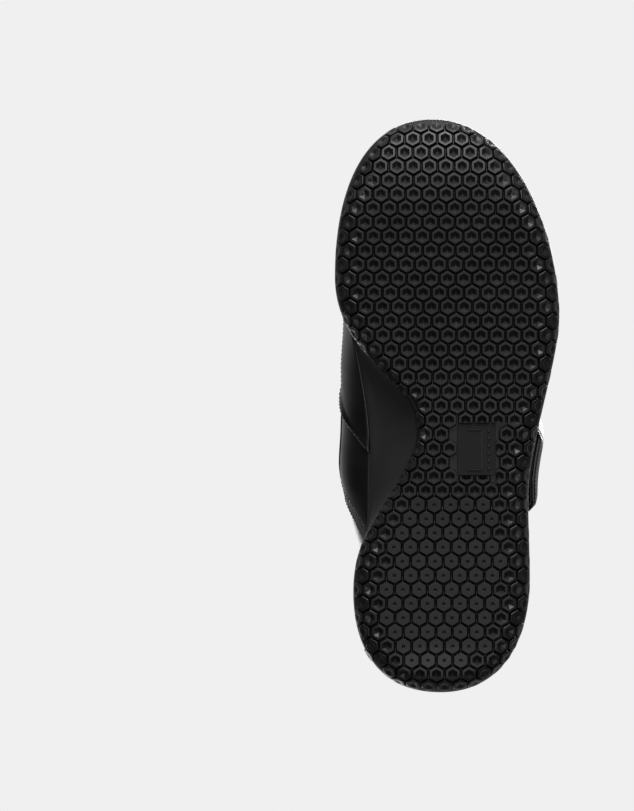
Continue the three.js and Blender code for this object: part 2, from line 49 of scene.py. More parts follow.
# ---- Pattern sizes shared with the CAD model, mm ----
OUTSOLE_SKIN = 4.2
EDGE_ROLL = 12
EDGE_HEIGHT = 10
ARCH_ROLL = 6
ARCH_EDGE = 5
FOREFOOT_STACK = 15
HEEL_STACK = 26
TOE_SPRING = 14
HEEL_BEVEL = 5
LIP = 1.5
CLEARANCE = 0.3
LAYER_GAP = 0.5
LEATHER = 1.6
OVERLAY = 1.6
STIFFENER = 1.2
LINING = 0.9
COLLAR_FOAM = 4.6
TONGUE_SKIN = 1.1
TONGUE_FOAM = 3
BOARD = 2
SOCKLINER = 4
HEEL_CUSHION = 1.8
BOARD_INSET = 6.5
STRAP_WIDTH = 41
STRAP_LEATHER = 1.7
STRAP_LINING = 0.8
HOOK = 1.2
LOOP = 1.2
THROAT = -52
THROAT_EDGE = 0.8
WIDEST = 0.35

SOLE_KNOTS = [
    (-7, -144, -1, 0, 43, 32), (-56.2, -64.5, 0, 1, 48.5, 22), (-34, -18.5, 0.66, 0.75, 16, 16),
    (-15, 12, 0, 1, 14, 12), (-33, 51, -0.52, 0.85, 18, 14), (-47, 93.5, 0, 1, 20, 27),
    (-3, 144, 1, 0, 32.5, 29), (41.8, 86.5, 0, -1, 33.5, 12), (41, 45, 0, -1, 14, 24),
    (56.6, -44.5, 0, -1, 21, 39),
]
UPPER_KNOTS = [
    (-7, -138, -1, 0, 34, 28), (-50, -68, 0, 1, 38, 26), (-37, 22, 0, 1, 34, 20),
    (-39.5, 95, 0, 1, 20, 22), (-3, 138, 1, 0, 20, 21), (34.8, 92, 0, -1, 24, 16),
    (37.5, 40, 0.03, -1, 16, 26), (50.5, -50, 0, -1, 24, 40),
]


# ---- Maths on arrays ----
def mix(a, b, k):
    return a + (b - a) * k


def ease(v, lo, hi):
    k = np.clip((np.asarray(v, float) - lo) / (hi - lo), 0, 1)
    return k * k * (3 - 2 * k)


def profile(stations):
    """A smooth line through (position, value) stations, level beyond its two ends."""
    xs = np.array([s[0] for s in stations], float)
    ys = np.array([s[1] for s in stations], float)
    last = len(xs) - 1
    before = np.maximum(np.arange(len(xs)) - 1, 0)
    after = np.minimum(np.arange(len(xs)) + 1, last)
    slope = (ys[after] - ys[before]) / (xs[after] - xs[before])

    def line(v):
        x = np.clip(np.asarray(v, float), xs[0], xs[-1])
        i = np.clip(np.searchsorted(xs, x) - 1, 0, last - 1)
        w = xs[i + 1] - xs[i]
        k = (x - xs[i]) / w
        k2, k3 = k * k, k * k * k
        return ((2 * k3 - 3 * k2 + 1) * ys[i] + (k3 - 2 * k2 + k) * w * slope[i]
                + (3 * k2 - 2 * k3) * ys[i + 1] + (k3 - k2) * w * slope[i + 1])
    return line


def bezier(a, b, c, d, k):
    m = 1 - k
    return m ** 3 * a + 3 * m * m * k * b + 3 * m * k * k * c + k ** 3 * d


class Outline:
    """A closed plan outline. phi is 0 at the toe tip, -1 and 1 at the heel tip; inner side < 0."""

    def __init__(self, knots, grow=0.0):
        heel = max(range(len(knots)), key=lambda i: knots[i][1])
        k = np.linspace(0, 1, 121)
        halves = [[], []]
        for i, a in enumerate(knots):
            b = knots[(i + 1) % len(knots)]
            ua, ub = math.hypot(a[2], a[3]), math.hypot(b[2], b[3])
            x = bezier(a[0], a[0] + a[2] / ua * a[5], b[0] - b[2] / ub * b[4], b[0], k)
            y = bezier(a[1], a[1] + a[3] / ua * a[5], b[1] - b[3] / ub * b[4], b[1], k)
            halves[0 if i < heel else 1].append(np.stack([x, y], 1))
        self.inner = np.concatenate(halves[0])
        self.outer = np.concatenate(halves[1])[::-1]
        self.toe, self.heel, self.grow = knots[0][1], knots[heel][1], grow

    def raw(self, phi):
        phi = (np.asarray(phi, float) + 1) % 2 - 1
        y = mix(self.toe, self.heel, (1 - np.cos(np.pi * np.abs(phi))) / 2)
        xi = np.interp(y, self.inner[:, 1], self.inner[:, 0])
        xo = np.interp(y, self.outer[:, 1], self.outer[:, 0])
        return np.where(phi < 0, xi, xo), y

    def at(self, phi, inset=0.0):
        """x, y, and the outward normal's two parts, the outline moved in by inset."""
        phi = np.asarray(phi, float)
        x, y = self.raw(phi)
        ax, ay = self.raw(phi - 0.004)
        bx, by = self.raw(phi + 0.004)
        size = np.hypot(bx - ax, by - ay)
        nx, ny = -(ay - by) / size, (ax - bx) / size
        out = self.grow - inset
        return x + nx * out, y + ny * out, nx, ny


sole_line = Outline(SOLE_KNOTS)
upper_line = Outline(UPPER_KNOTS)
lip_line = Outline(UPPER_KNOTS, LIP)


def station(y):
    k = (np.asarray(y, float) - upper_line.toe) / (upper_line.heel - upper_line.toe)
    return np.arccos(1 - 2 * np.clip(k, 0, 1)) / np.pi


def inner_side(y):
    return -station(y)


def outer_side(y):
    return station(y)


def around_heel(y):
    return 2 - station(y)


def ground_line(y):
    spring = TOE_SPRING * np.maximum(0, (-85 - y) / 59) ** 2
    bevel = HEEL_BEVEL * np.maximum(0, (y - 118) / 26) ** 2
    return spring + bevel + 1.2 * ease(y, -10, 12) * (1 - ease(y, 38, 60))


stack_share = profile([(-144, 0), (-40, 0.02), (0, 0.36), (40, 0.7), (95, 0.94), (144, 1)])


def bed_line(y):
    spring = 0.8 * TOE_SPRING * np.maximum(0, (-85 - y) / 59) ** 2
    return mix(FOREFOOT_STACK, HEEL_STACK, stack_share(y)) + spring


# ---- The upper's outside surface ----
instep_x = profile([(-110, -6), (-50, -2), (0, -3), (50, -3)])
instep_z = profile([(-112, 45), (-85, 57), (-50, 67), (-20, 79), (0, 87), (20, 96), (42, 104)])
instep_y = profile([(-138, -104), (-120, -97), (-100, -85), (-70, -63), (-40, -38), (0, -6),
                    (20, 12), (40, 31), (60, 42)])
collar_z = profile([(30, 97), (55, 83), (85, 74), (110, 79), (130, 91), (138, 95)])
collar_inset = profile([(30, 14), (60, 9), (100, 7.5), (130, 7), (138, 7)])
widest_height = profile([(-138, 9), (-90, 11), (-45, 16), (0, 18), (60, 18), (138, 22)])
inner_bulge = profile([(-138, 1.5), (-100, 1.5), (-60, 0.6), (-42, 3.2), (-20, 9.2), (10, 13.7),
                       (36, 14.6), (60, 8.2), (82, 2.2), (138, 3)])
outer_bulge = profile([(-138, 1.5), (-100, 1.5), (-50, 0.6), (-17, 1.8), (0, 2.3), (12, 1.9),
                       (34, 1.2), (60, 1.2), (138, 3)])


def collar_share(y):
    return ease(y, 36, 76)


def stack(*parts):
    return np.stack(np.broadcast_arrays(*parts), -1)


def rib_point(phi, t, closed_front=False):
    phi, t = np.broadcast_arrays(np.asarray(phi, float), np.asarray(t, float))
    fx, fy, nx, ny = upper_line.at(phi)
    wrapped = (phi + 1) % 2 - 1
    bulge = np.where(wrapped < 0, inner_bulge(fy), outer_bulge(fy))
    rise, bed = widest_height(fy), bed_line(fy)
    foot = stack(fx, fy, bed)
    wide = stack(fx + nx * bulge, fy + ny * bulge, bed + rise)
    flare = 0.55 * bulge
    a = stack(fx + nx * flare, fy + ny * flare, bed + rise * 0.28)
    b = wide - stack(0 * rise, 0 * rise, rise * 0.4)
    low = bezier(foot, a, b, wide, np.clip(t / WIDEST, 0, 1)[..., None])
    y_top = instep_y(fy)
    ridge = stack(instep_x(y_top), y_top, instep_z(y_top))
    inset = collar_inset(fy)
    collar = stack(fx - nx * inset, fy - ny * inset, collar_z(fy))
    share = np.zeros_like(fy) if closed_front else collar_share(fy)
    k = share[..., None]
    top = mix(ridge, collar, k)
    dx, dy = wide[..., 0] - ridge[..., 0], wide[..., 1] - ridge[..., 1]
    span = np.hypot(dx, dy)
    slope = (instep_z(y_top + 1) - instep_z(y_top - 1)) / 2
    reach = span * 0.52
    flat = stack(dx / span * reach, dy / span * reach, dy / span * reach * slope)
    steep = stack(nx * 2, ny * 2, -(collar[..., 2] - wide[..., 2]) * 0.35)
    handle = mix(flat, steep, k)
    lift = (top[..., 2] - wide[..., 2]) * mix(0.5, 0.35, share)
    up = wide + stack(0 * lift, 0 * lift, lift)
    high = bezier(wide, up, top + handle, top, np.clip((t - WIDEST) / (1 - WIDEST), 0, 1)[..., None])
    return np.where((t < WIDEST)[..., None], low, high)


def unit(v):
    return v / np.maximum(np.linalg.norm(v, axis=-1, keepdims=True), 1e-12)


def rib_normal(phi, t, closed_front=False):
    phi, t = np.broadcast_arrays(np.asarray(phi, float), np.asarray(t, float))
    d = 0.004
    across = rib_point(phi + d, t, closed_front) - rib_point(phi - d, t, closed_front)
    along = (rib_point(phi, np.minimum(t + d, 1), closed_front)
             - rib_point(phi, np.maximum(t - d, 0), closed_front))
    n = unit(np.cross(across, along))
    a, b = rib_point(np.abs(phi) - d, 1.0, True), rib_point(np.abs(phi) + d, 1.0, True)
    step = b - a
    ridge = unit(stack(0 * step[..., 0], -step[..., 2], step[..., 1]))
    front = closed_front | (collar_share(upper_line.at(phi)[1]) == 0)
    return np.where((front & (t > 1 - 1e-6))[..., None], ridge, n)


def on_upper(phi, t, out, closed_front=False):
    n = rib_normal(phi, t, closed_front)
    return rib_point(phi, t, closed_front) + n * np.asarray(out)[..., None]


# ---- Mesh helpers ----
def link(name, mesh):
    obj = bpy.data.objects.new(name, mesh)
    scene.collection.objects.link(obj)
    return obj


def mesh_from(name, points, faces, smooth=True):
    mesh = bpy.data.meshes.new(name)
    mesh.from_pydata([tuple(p) for p in np.asarray(points) * MM], [], faces)
    mesh.polygons.foreach_set("use_smooth", [smooth] * len(mesh.polygons))
    mesh.update()
    return link(name, mesh)


def tidy(obj, merge=2e-6):
    """Joins the points that lie on each other and turns every face outwards."""
    bm = bmesh.new()
    bm.from_mesh(obj.data)
    bmesh.ops.remove_doubles(bm, verts=bm.verts, dist=merge)
    bmesh.ops.dissolve_degenerate(bm, edges=bm.edges, dist=1e-7)
    bmesh.ops.recalc_face_normals(bm, faces=bm.faces)
    bm.to_mesh(obj.data)
    bm.free()
    return obj


def grid_faces(rows, cols, start=0, flip=False):
    i, j = np.meshgrid(np.arange(rows - 1), np.arange(cols - 1), indexing="ij")
    a = (start + i * cols + j).ravel()
    quads = np.stack([a, a + cols, a + cols + 1, a + 1], 1)
    return (quads[:, ::-1] if flip else quads).tolist()


def slab(name, top, bottom, folds=(), uv=None):
    """A closed piece from two matching grids of points, walled along its unfolded edges."""
    rows, cols = top.shape[:2]
    size = rows * cols
    points = np.concatenate([top.reshape(-1, 3), bottom.reshape(-1, 3)])
    faces = grid_faces(rows, cols) + grid_faces(rows, cols, size, True)
    index = np.arange(size).reshape(rows, cols)
    edges = {"u0": index[0], "u1": index[-1], "v0": index[:, 0], "v1": index[:, -1]}
    for key, line in edges.items():
        if key not in folds:
            forward = key in ("u1", "v0")
            for a, b in zip(line[:-1], line[1:]):
                wall = [a, a + size, b + size, b]
                faces.append(wall[::-1] if forward else wall)
    obj = mesh_from(name, points, [[int(n) for n in f] for f in faces])
    if uv is not None:
        layer = obj.data.uv_layers.new(name="pattern")
        flat = np.tile(uv.reshape(-1, 2), (2, 1)) * MM
        loops = np.zeros(len(obj.data.loops), np.int32)
        obj.data.loops.foreach_get("vertex_index", loops)
        layer.data.foreach_set("uv", flat[loops].ravel())
    return tidy(obj)


def ring_faces(start, rings, sides):
    """Faces of a closed tube made of point rings, capped at both ends."""
    faces = []
    for ring in range(rings - 1):
        for k in range(sides):
            a, b = start + ring * sides + k, start + ring * sides + (k + 1) % sides
            faces.append([a, b, b + sides, a + sides])
    faces.append([start + (rings - 1) * sides + k for k in range(sides)])
    faces.append([start + k for k in reversed(range(sides))])
    return faces


def stops(count, length, low=True, high=True, edge=(0.0, 0.25, 0.6, 1.1, 1.8)):
    """Shares 0 to 1 along a side of the given length, with extra steps close to its ends."""
    start = [e / length for e in edge] if low else [0.0]
    end = [1 - e / length for e in edge][::-1] if high else [1.0]
    middle = np.linspace(start[-1], end[0], count)[1:-1]
    return np.array(start + list(middle) + end)


def edge_roll(u, v, lu, lv, radius, folds=()):
    """0 on the piece's edge, rising to 1 at radius from it, on a quarter circle."""
    far = np.full(np.broadcast(u, v).shape, 1e3)
    for key, d in (("u0", u * lu), ("u1", (1 - u) * lu), ("v0", v * lv), ("v1", (1 - v) * lv)):
        if key not in folds:
            far = np.minimum(far, np.broadcast_to(d, far.shape))
    return np.sqrt(1 - (1 - np.clip(far / radius, 0, 1)) ** 2)


def wobble(points, scale, seed):
    """Slow, smooth unevenness between -1 and 1, the same each run."""
    rng = np.random.default_rng(seed)
    total = np.zeros(points.shape[:-1])
    for octave in range(5):
        direction = unit(rng.normal(size=3))
        phase = rng.uniform(0, 2 * np.pi)
        total += np.sin(points @ direction * (2 * np.pi / scale) * 1.37 ** octave + phase)
    return total / 5


layers = {}  # what each layer was drawn from, for the seams that follow it


def layer(name, start, end, low, high, outer, inner, nu=60, nv=30, folds=(), roll=1.3,
          shape=None, uneven=0.0):
    """A layer of the upper between two offsets, with its edges rolled over.

    start(v) and end(v) are places round the upper, low(phi) and high(phi) shares up the rib,
    outer and inner offsets from the leather's outside face, shape(phi, t) an added height.
    """
    probe_u, probe_v = np.meshgrid(np.linspace(0, 1, 24), np.linspace(0, 1, 24), indexing="ij")

    def place(u, v):
        phi = mix(start(v), end(v), u)
        return phi, mix(low(phi), high(phi), v)
    phi, t = place(probe_u, probe_v)
    p = rib_point(phi, t)
    lu = np.linalg.norm(np.diff(p, axis=0), axis=-1).sum(0).mean()
    lv = np.linalg.norm(np.diff(p, axis=1), axis=-1).sum(1).mean()
    u, v = np.meshgrid(stops(nu, lu, "u0" not in folds, "u1" not in folds),
                       stops(nv, lv, "v0" not in folds, "v1" not in folds), indexing="ij")
    phi, t = place(u, v)
    base, n = rib_point(phi, t), rib_normal(phi, t)
    inside = inner(t, phi) if callable(inner) else inner
    outside = outer(t, phi) if callable(outer) else outer
    thick = outside - inside
    rolled = edge_roll(u, v, lu, lv, roll, folds)
    height = inside + thick * (0.25 + 0.75 * rolled)
    if shape is not None:
        height = height + shape(phi, t) * rolled
    if uneven:
        height = height + wobble(base, 31, len(name)) * uneven * rolled
    inside = inside + thick * 0.12 * (1 - rolled)
    top = base + n * height[..., None]
    bottom = base + n * np.broadcast_to(inside, height.shape)[..., None]
    obj = slab(name, top, bottom, folds, uv=np.stack([u * lu, v * lv], -1))
    layers[name] = {"place": place, "outer": outer, "lu": lu, "lv": lv, "shape": shape}
    return obj


def fixed(value):
    return lambda at: value + 0 * np.asarray(at, float)


# ---- Materials ----
def new_material(name):
    material = bpy.data.materials.new(name)
    material.use_nodes = True
    tree = material.node_tree
    shader = tree.nodes["Principled BSDF"]
    return material, tree, shader


def node(tree, kind, **inputs):
    n = tree.nodes.new(kind)
    for key, value in inputs.items():
        name = key.replace("_", " ")
        if name in n.inputs:
            n.inputs[name].default_value = value
        else:
            setattr(n, key, value)
    return n


def ramp(tree, source, low, high, a, b):
    """Spreads source from low..high over the colours or greys a..b."""
    r = tree.nodes.new("ShaderNodeValToRGB")
    r.color_ramp.elements[0].position = low
    r.color_ramp.elements[1].position = high
    r.color_ramp.elements[0].color = (*a, 1)
    r.color_ramp.elements[1].color = (*b, 1)
    tree.links.new(source, r.inputs["Fac"])
    return r.outputs["Color"]


def grey(v):
    return (v, v, v)


def bump(tree, height, strength, distance, normal=None):
    b = node(tree, "ShaderNodeBump", Strength=strength, Distance=distance)
    tree.links.new(height, b.inputs["Height"])
    if normal is not None:
        tree.links.new(normal, b.inputs["Normal"])
    return b.outputs["Normal"]


def feed(tree, shader, **inputs):
    """Sets a shader's inputs: a number on its own socket, a texture's output by a link."""
    for key, value in inputs.items():
        socket = shader.inputs[key.replace("_", " ")]
        if isinstance(value, bpy.types.NodeSocket):
            tree.links.new(value, socket)
        else:
            socket.default_value = value


def object_texture(tree, kind, output, **inputs):
    """A texture over the object's own space, in metres."""
    texture = node(tree, kind, **inputs)
    where = tree.nodes.new("ShaderNodeTexCoord").outputs["Object"]
    tree.links.new(where, texture.inputs["Vector"])
    return texture.outputs[output]


def noise(tree, scale, detail, **more):
    return object_texture(tree, "ShaderNodeTexNoise", "Fac", Scale=scale, Detail=detail, **more)


def leather_material(name, base, sheen_low=0.3, sheen_high=0.42, grain=0.12):
    """Smooth corrected-grain leather: fine pebble, faint pores and slow gloss changes."""
    material, tree, shader = new_material(name)
    pebble = object_texture(tree, "ShaderNodeTexVoronoi", "Distance", Scale=1500.0)
    pores, slow = noise(tree, 2600.0, 3.0), noise(tree, 38.0, 4.0)
    first = bump(tree, pebble, grain, 0.0002)
    second = bump(tree, pores, grain * 0.7, 0.00012, first)
    feed(tree, shader, Normal=bump(tree, slow, 0.1, 0.0016, second),
         Base_Color=ramp(tree, slow, 0.3, 0.7, grey(base * 0.85), grey(base * 1.2)),
         Roughness=ramp(tree, slow, 0.35, 0.65, grey(sheen_low), grey(sheen_high)),
         Specular_IOR_Level=0.5)
    return material


def rubber_material(name, base, rough, grain=0.12, scale=1800.0, specular=0.4):
    """Moulded rubber or foam: fine mould texture and faint dusty patches."""
    material, tree, shader = new_material(name)
    fine, patch = noise(tree, scale, 2.0), noise(tree, 46.0, 5.0)
    feed(tree, shader, Normal=bump(tree, fine, grain, 0.00015),
         Base_Color=ramp(tree, patch, 0.3, 0.75, grey(base * 0.85), grey(base * 1.3)),
         Roughness=ramp(tree, patch, 0.3, 0.7, grey(rough), grey(rough + 0.1)),
         Specular_IOR_Level=specular)
    return material


def woven_material(name, base, across, along, depth, rough=0.85, sheen=0.25):
    """Cloth in pattern coordinates: across and along are the thread pitches in mm."""
    material, tree, shader = new_material(name)
    where = tree.nodes.new("ShaderNodeUVMap")
    where.uv_map = "pattern"
    both = node(tree, "ShaderNodeMath", operation="MULTIPLY")
    for slot, (pitch, direction) in enumerate(((across, "X"), (along, "Y"))):
        wave = node(tree, "ShaderNodeTexWave", Scale=0.314 / (pitch * MM), bands_direction=direction)
        tree.links.new(where.outputs["UV"], wave.inputs["Vector"])
        tree.links.new(wave.outputs["Fac"], both.inputs[slot])
    threads = both.outputs[0]
    feed(tree, shader,
         Normal=bump(tree, noise(tree, 1400.0, 3.0), 0.25, 0.0002,
                     bump(tree, threads, 0.6, depth * MM)),
         Base_Color=ramp(tree, threads, 0.1, 0.8, grey(base * 0.5), grey(base * 1.25)),
         Roughness=rough, Sheen_Weight=sheen)
    return material


def fibre_material(name, dark, light, scale, depth=0.0003):
    """Loose fibres, board or open foam: a mottled colour over a rough surface."""
    material, tree, shader = new_material(name)
    fibre = noise(tree, scale, 6.0, Roughness=0.7)
    feed(tree, shader, Normal=bump(tree, fibre, 0.7, depth),
         Base_Color=ramp(tree, fibre, 0.3, 0.7, dark, light), Roughness=0.95)
    return material


def steel_material():
    """Bright strip, brushed along its length."""
    material, tree, shader = new_material("spring_steel")
    stretch = tree.nodes.new("ShaderNodeMapping")
    stretch.inputs["Scale"].default_value = (1800, 40, 1800)
    brushed = node(tree, "ShaderNodeTexNoise", Scale=1.0, Detail=3.0)
    where = tree.nodes.new("ShaderNodeTexCoord").outputs["Object"]
    tree.links.new(where, stretch.inputs["Vector"])
    tree.links.new(stretch.outputs["Vector"], brushed.inputs["Vector"])
    feed(tree, shader,
         Base_Color=ramp(tree, brushed.outputs["Fac"], 0.3, 0.7, grey(0.42), grey(0.6)),
         Metallic=1.0, Roughness=0.35)
    return material


LOOKS = {
    "leather": leather_material("smooth_leather", 0.003),
    "rubber": rubber_material("outsole_rubber", 0.0032, 0.4),
    "matt_rubber": rubber_material("plaque_rubber", 0.002, 0.62, grain=0.5, scale=1500.0,
                                   specular=0.3),
    "foam": rubber_material("midsole_foam", 0.0125, 0.6, grain=0.3, scale=1300.0, specular=0.35),
    "ribbed": woven_material("ribbed_webbing", 0.014, 0.9, 40.0, 0.35),
    "lining": woven_material("lining_knit", 0.02, 0.9, 0.9, 0.2),
    "sock": woven_material("sockliner_cloth", 0.024, 0.7, 1.1, 0.15),
    "padding": fibre_material("open_foam", grey(0.02), grey(0.04), 900.0),
    "board": fibre_material("fibre_board", (0.22, 0.17, 0.11), (0.4, 0.32, 0.23), 500.0),
    "pile": fibre_material("fastener_pile", grey(0.006), grey(0.035), 1500.0, depth=0.0006),
    "thread": leather_material("stitching_thread", 0.02, 0.4, 0.5, 0.3),
    "steel": steel_material(),
}


def dress(obj, look):
    obj.data.materials.clear()
    obj.data.materials.append(LOOKS[look])
    return obj


def put(obj, look, *nodes, body="upper"):
    """Gives a piece its material and the body it rides on, and hides the CAD nodes it stands for."""
    dress(obj, look)
    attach(obj, body)
    if nodes:
        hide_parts(*nodes)
    return obj


# ---- Outsole ----
GROOVE = 2.0  # depth of the grooves between the lugs
TIP_ROLL = 7.5  # the turned-up edge is narrower at the toe and heel tips
LUG_X, LUG_Y = 8.17, 7.065  # lattice pitch across the sole and from row to row
LUG_START = (4.05, -84.5)  # one lug's centre
LUG_TWIST = 0.0135  # how far the rows drift sideways towards the heel
LUG_SIDES = 24  # points round one lug
CUP_EDGE = 2.6  # a lug's rings inside this radius make up its dimple
LAST_LUG = 0.84  # no lug's centre stands further up the turned-up edge than this share


def arch_share(phi, y):
    return np.where(np.asarray(phi) < 0, ease(y, -46, -14) * (1 - ease(y, 40, 76)), 0.0)


def roll_sizes(phi, y):
    arch = arch_share(phi, y)
    tip = np.maximum(ease(-y, 116, 134), 0.7 * ease(y, 120, 136))
    width = mix(mix(EDGE_ROLL, ARCH_ROLL, arch), TIP_ROLL, tip)
    return width, mix(EDGE_HEIGHT, ARCH_EDGE, arch)


def roll_point(phi, roll, depth):
    """A point of the turned-up edge: roll is 0 at the rim and 1 where the flat begins."""
    _, y0, _, _ = sole_line.at(phi)
    width, height = roll_sizes(phi, y0)
    turn = np.pi / 2 * (1 - roll)
    inset = depth + (width - depth) * (1 - np.sin(turn))
    x, y, _, _ = sole_line.at(phi, inset)
    return stack(x, y, ground_line(y) + depth + (height - depth) * (1 - np.cos(turn)))


def crispness(phi, y):
    """1 where the tread runs out to the rim, at the arch and the toe tip."""
    return np.maximum(arch_share(phi, y), ease(-y, 112, 130))


def relief(share, crisp):
    """How much of the tread's depth is left: share is 0 on the flat and 1 at the rim."""
    return 1 - 0.96 * ease(share, mix(0.5, 0.76, crisp), 0.97)


def across_sole(depth, rows=150, rolls=14, middle=16):
    """Rows of points across the sole at a depth into it, from rim to rim."""
    u = np.linspace(0, 1, rows + 1)[:, None]
    roll = np.linspace(0, 1, rolls)[None, :]
    inner_part = roll_point(-u, roll, depth(roll, crispness(-u, sole_line.at(-u)[1])))
    outer_part = roll_point(u, roll, depth(roll, crispness(u, sole_line.at(u)[1])))[:, ::-1]
    k = np.linspace(0, 1, middle + 2)[None, 1:-1]
    a, b = inner_part[:, -1:, :], outer_part[:, :1, :]
    flat = mix(a, b, k[..., None])
    flat[..., 2] = ground_line(flat[..., 1]) + float(depth(np.array(1.0), 0.0))
    return np.concatenate([inner_part, flat, outer_part], 1)


def outsole_body():
    floor = across_sole(lambda roll, crisp: 0.06 + GROOVE * relief(1 - roll, crisp))
    inside = across_sole(lambda roll, crisp: OUTSOLE_SKIN + 0 * roll)
    return slab("outsole_body", floor, inside, ("u0", "u1"))


class SoleMap:
    """Bends a flat sheet of lugs round the sole's turned-up edge."""

    def __init__(self):
        s = np.linspace(0, 1, 700)
        phi = np.concatenate([-s[:0:-1], s])
        _, y0, _, _ = sole_line.at(phi)
        self.width, self.height = roll_sizes(phi, y0)
        self.crisp = crispness(phi, y0)
        x, y, self.nx, self.ny = sole_line.at(phi, self.width)
        self.ring = np.stack([x, y], -1)
        self.arc = (self.width + self.height) / 2 * np.pi / 2

    def __call__(self, flat, depth):
        """flat is (n, 2) points of the sheet; depth is how far each lies inside the ground face."""
        delta = flat[:, None, :] - self.ring[None]
        near = np.argmin((delta ** 2).sum(-1), 1)
        d = delta[np.arange(len(flat)), near]
        n = np.stack([self.nx[near], self.ny[near]], -1)
        s = (d * n).sum(-1)
        share = np.maximum(s / self.arc[near], 0)
        squeezed = LAST_LUG + 0.13 * (1 - np.exp((LAST_LUG - share) / 0.13))
        share = np.where(share > LAST_LUG, squeezed, share)
        outside = s > 0
        turn = share * np.pi / 2
        w, h = self.width[near], self.height[near]
        q = self.ring[near] + (d - n * s[:, None])
        x = np.where(outside, q[:, 0] + n[:, 0] * w * np.sin(turn), flat[:, 0])
        y = np.where(outside, q[:, 1] + n[:, 1] * w * np.sin(turn), flat[:, 1])
        turn = np.where(outside, turn, 0)
        z = ground_line(y) + np.where(outside, h * (1 - np.cos(turn)), 0)
        out = np.stack([n[:, 0] * np.sin(turn), n[:, 1] * np.sin(turn), -np.cos(turn)], -1)
        depth = depth * relief(np.where(outside, share, 0), self.crisp[near])
        return np.stack([x, y, z], -1) - out * depth[:, None]


PLAQUE = (5.2, 8.8, 24.3, 35.0)  # the waist plaque's inner, toe, outer and heel edges


def hexagon(radius, count):
    """A pointy-top hexagon's outline with its corners slightly rounded: count points."""
    angle = np.arange(count) * 2 * np.pi / count + np.pi / 2
    sector = (angle - np.pi / 2 + np.pi / 6) % (np.pi / 3) - np.pi / 6
    corner = np.cos(np.pi / 6) / np.cos(np.pi / 6 - np.abs(sector))
    r = radius * np.minimum(corner, 0.985)
    return np.stack([r * np.cos(angle), r * np.sin(angle)], -1)


def lug_rings(cup):
    """Rings of one lug as (hexagon corner radius, depth below its top, round share)."""
    side = [(4.72, 2.2, 0), (4.6, 1.9, 0), (4.12, 0.42, 0), (3.99, 0.14, 0), (3.77, 0.0, 0)]
    if cup:
        return side + [(2.7, 0.0, 0), (2.5, 0.13, 0), (1.3, 1.3, 0), (0.6, 1.8, 0.3),
                       (0.12, 2.15, 1)]
    return side + [(2.4, 0.0, 0.3), (1.0, 0.0, 1), (0.88, 0.1, 1), (0.7, 1.0, 1), (0.3, 1.2, 1)]


def clear_of_plaque(flat, cx, cy, gap=0.35):
    """Cuts a lug off along the plaque's side it stands by."""
    x0, y0, x1, y1 = PLAQUE
    reach = 4.2
    if not (x0 - reach < cx < x1 + reach and y0 - reach < cy < y1 + reach):
        return flat
    sides = {"x0": x0 - cx, "x1": cx - x1, "y0": y0 - cy, "y1": cy - y1}
    side = max(sides, key=sides.get)
    axis = 0 if side[0] == "x" else 1
    limit = {"x0": x0 - gap, "x1": x1 + gap, "y0": y0 - gap, "y1": y1 + gap}[side]
    cut = np.minimum if side[1] == "0" else np.maximum
    flat = flat.copy()
    flat[:, axis] = cut(flat[:, axis], limit)
    return flat


def make_lugs():
    bend = SoleMap()
    points, faces, centres = [], [], []
    for j in range(-12, 36):
        for i in range(-9, 10):
            y = LUG_START[1] + LUG_Y * j
            x = LUG_START[0] + LUG_X * (i + (0.5 if j % 2 else 0)) + LUG_TWIST * (y - LUG_START[1])
            centres.append((x, y))
    centres = np.array(centres)
    delta = centres[:, None, :] - bend.ring[None]
    near = np.argmin((delta ** 2).sum(-1), 1)
    d = delta[np.arange(len(centres)), near]
    s = d[:, 0] * bend.nx[near] + d[:, 1] * bend.ny[near]
    share = s / bend.arc[near]
    x0, y0, x1, y1 = PLAQUE
    for (cx, cy), edge, beyond in zip(centres, share, s):
        if edge > LAST_LUG or (x0 - 0.4 < cx < x1 + 0.4 and y0 - 0.4 < cy < y1 + 0.4):
            continue
        cup = not (cy > 45 and beyond < -2.9 and cy < 133)
        rings, depths = [], []
        for radius, depth, roundness in lug_rings(cup):
            hexa = hexagon(radius, LUG_SIDES)
            circle = unit(hexa) * radius * 0.93
            rings.append(mix(hexa, circle, roundness) + (cx, cy))
            shallow = mix(1, 0.5, ease(edge, 0.0, 0.35)) if radius < CUP_EDGE else 1
            depths.append(np.full(LUG_SIDES, depth * shallow))
        flat, depth = np.concatenate(rings), np.concatenate(depths)
        flat = clear_of_plaque(flat, cx, cy)
        placed = bend(flat, depth)
        start = len(points)
        points.extend(placed.tolist())
        faces += ring_faces(start, len(rings), LUG_SIDES)
    add_bridges(bend, centres, share, points, faces)
    return mesh_from("outsole_lugs", points, faces)


def add_bridges(bend, centres, share, points, faces):
    """The thin web that ties each lug's toe-side corner to the groove between its neighbours."""
    x0, y0, x1, y1 = PLAQUE
    for (cx, cy), edge in zip(centres, share):
        if cy < -8 or edge > 0.6 or (x0 - 4 < cx < x1 + 4 and y0 - 5 < cy < y1 + 8):
            continue
        section = np.array([(-0.5, 2.3), (-0.16, 1.1), (0.16, 1.1), (0.5, 2.3)])
        flat, sunk = [], []
        for along, height in ((-3.6, 0.0), (-4.9, 0.1), (-6.3, 0.45)):
            for side, depth in section:
                flat.append((cx + side, cy + along))
                sunk.append(depth + (height if depth < 2 else 0))
        placed = bend(np.array(flat), np.array(sunk))
        start = len(points)
        points.extend(placed.tolist())
        faces += ring_faces(start, 3, len(section))


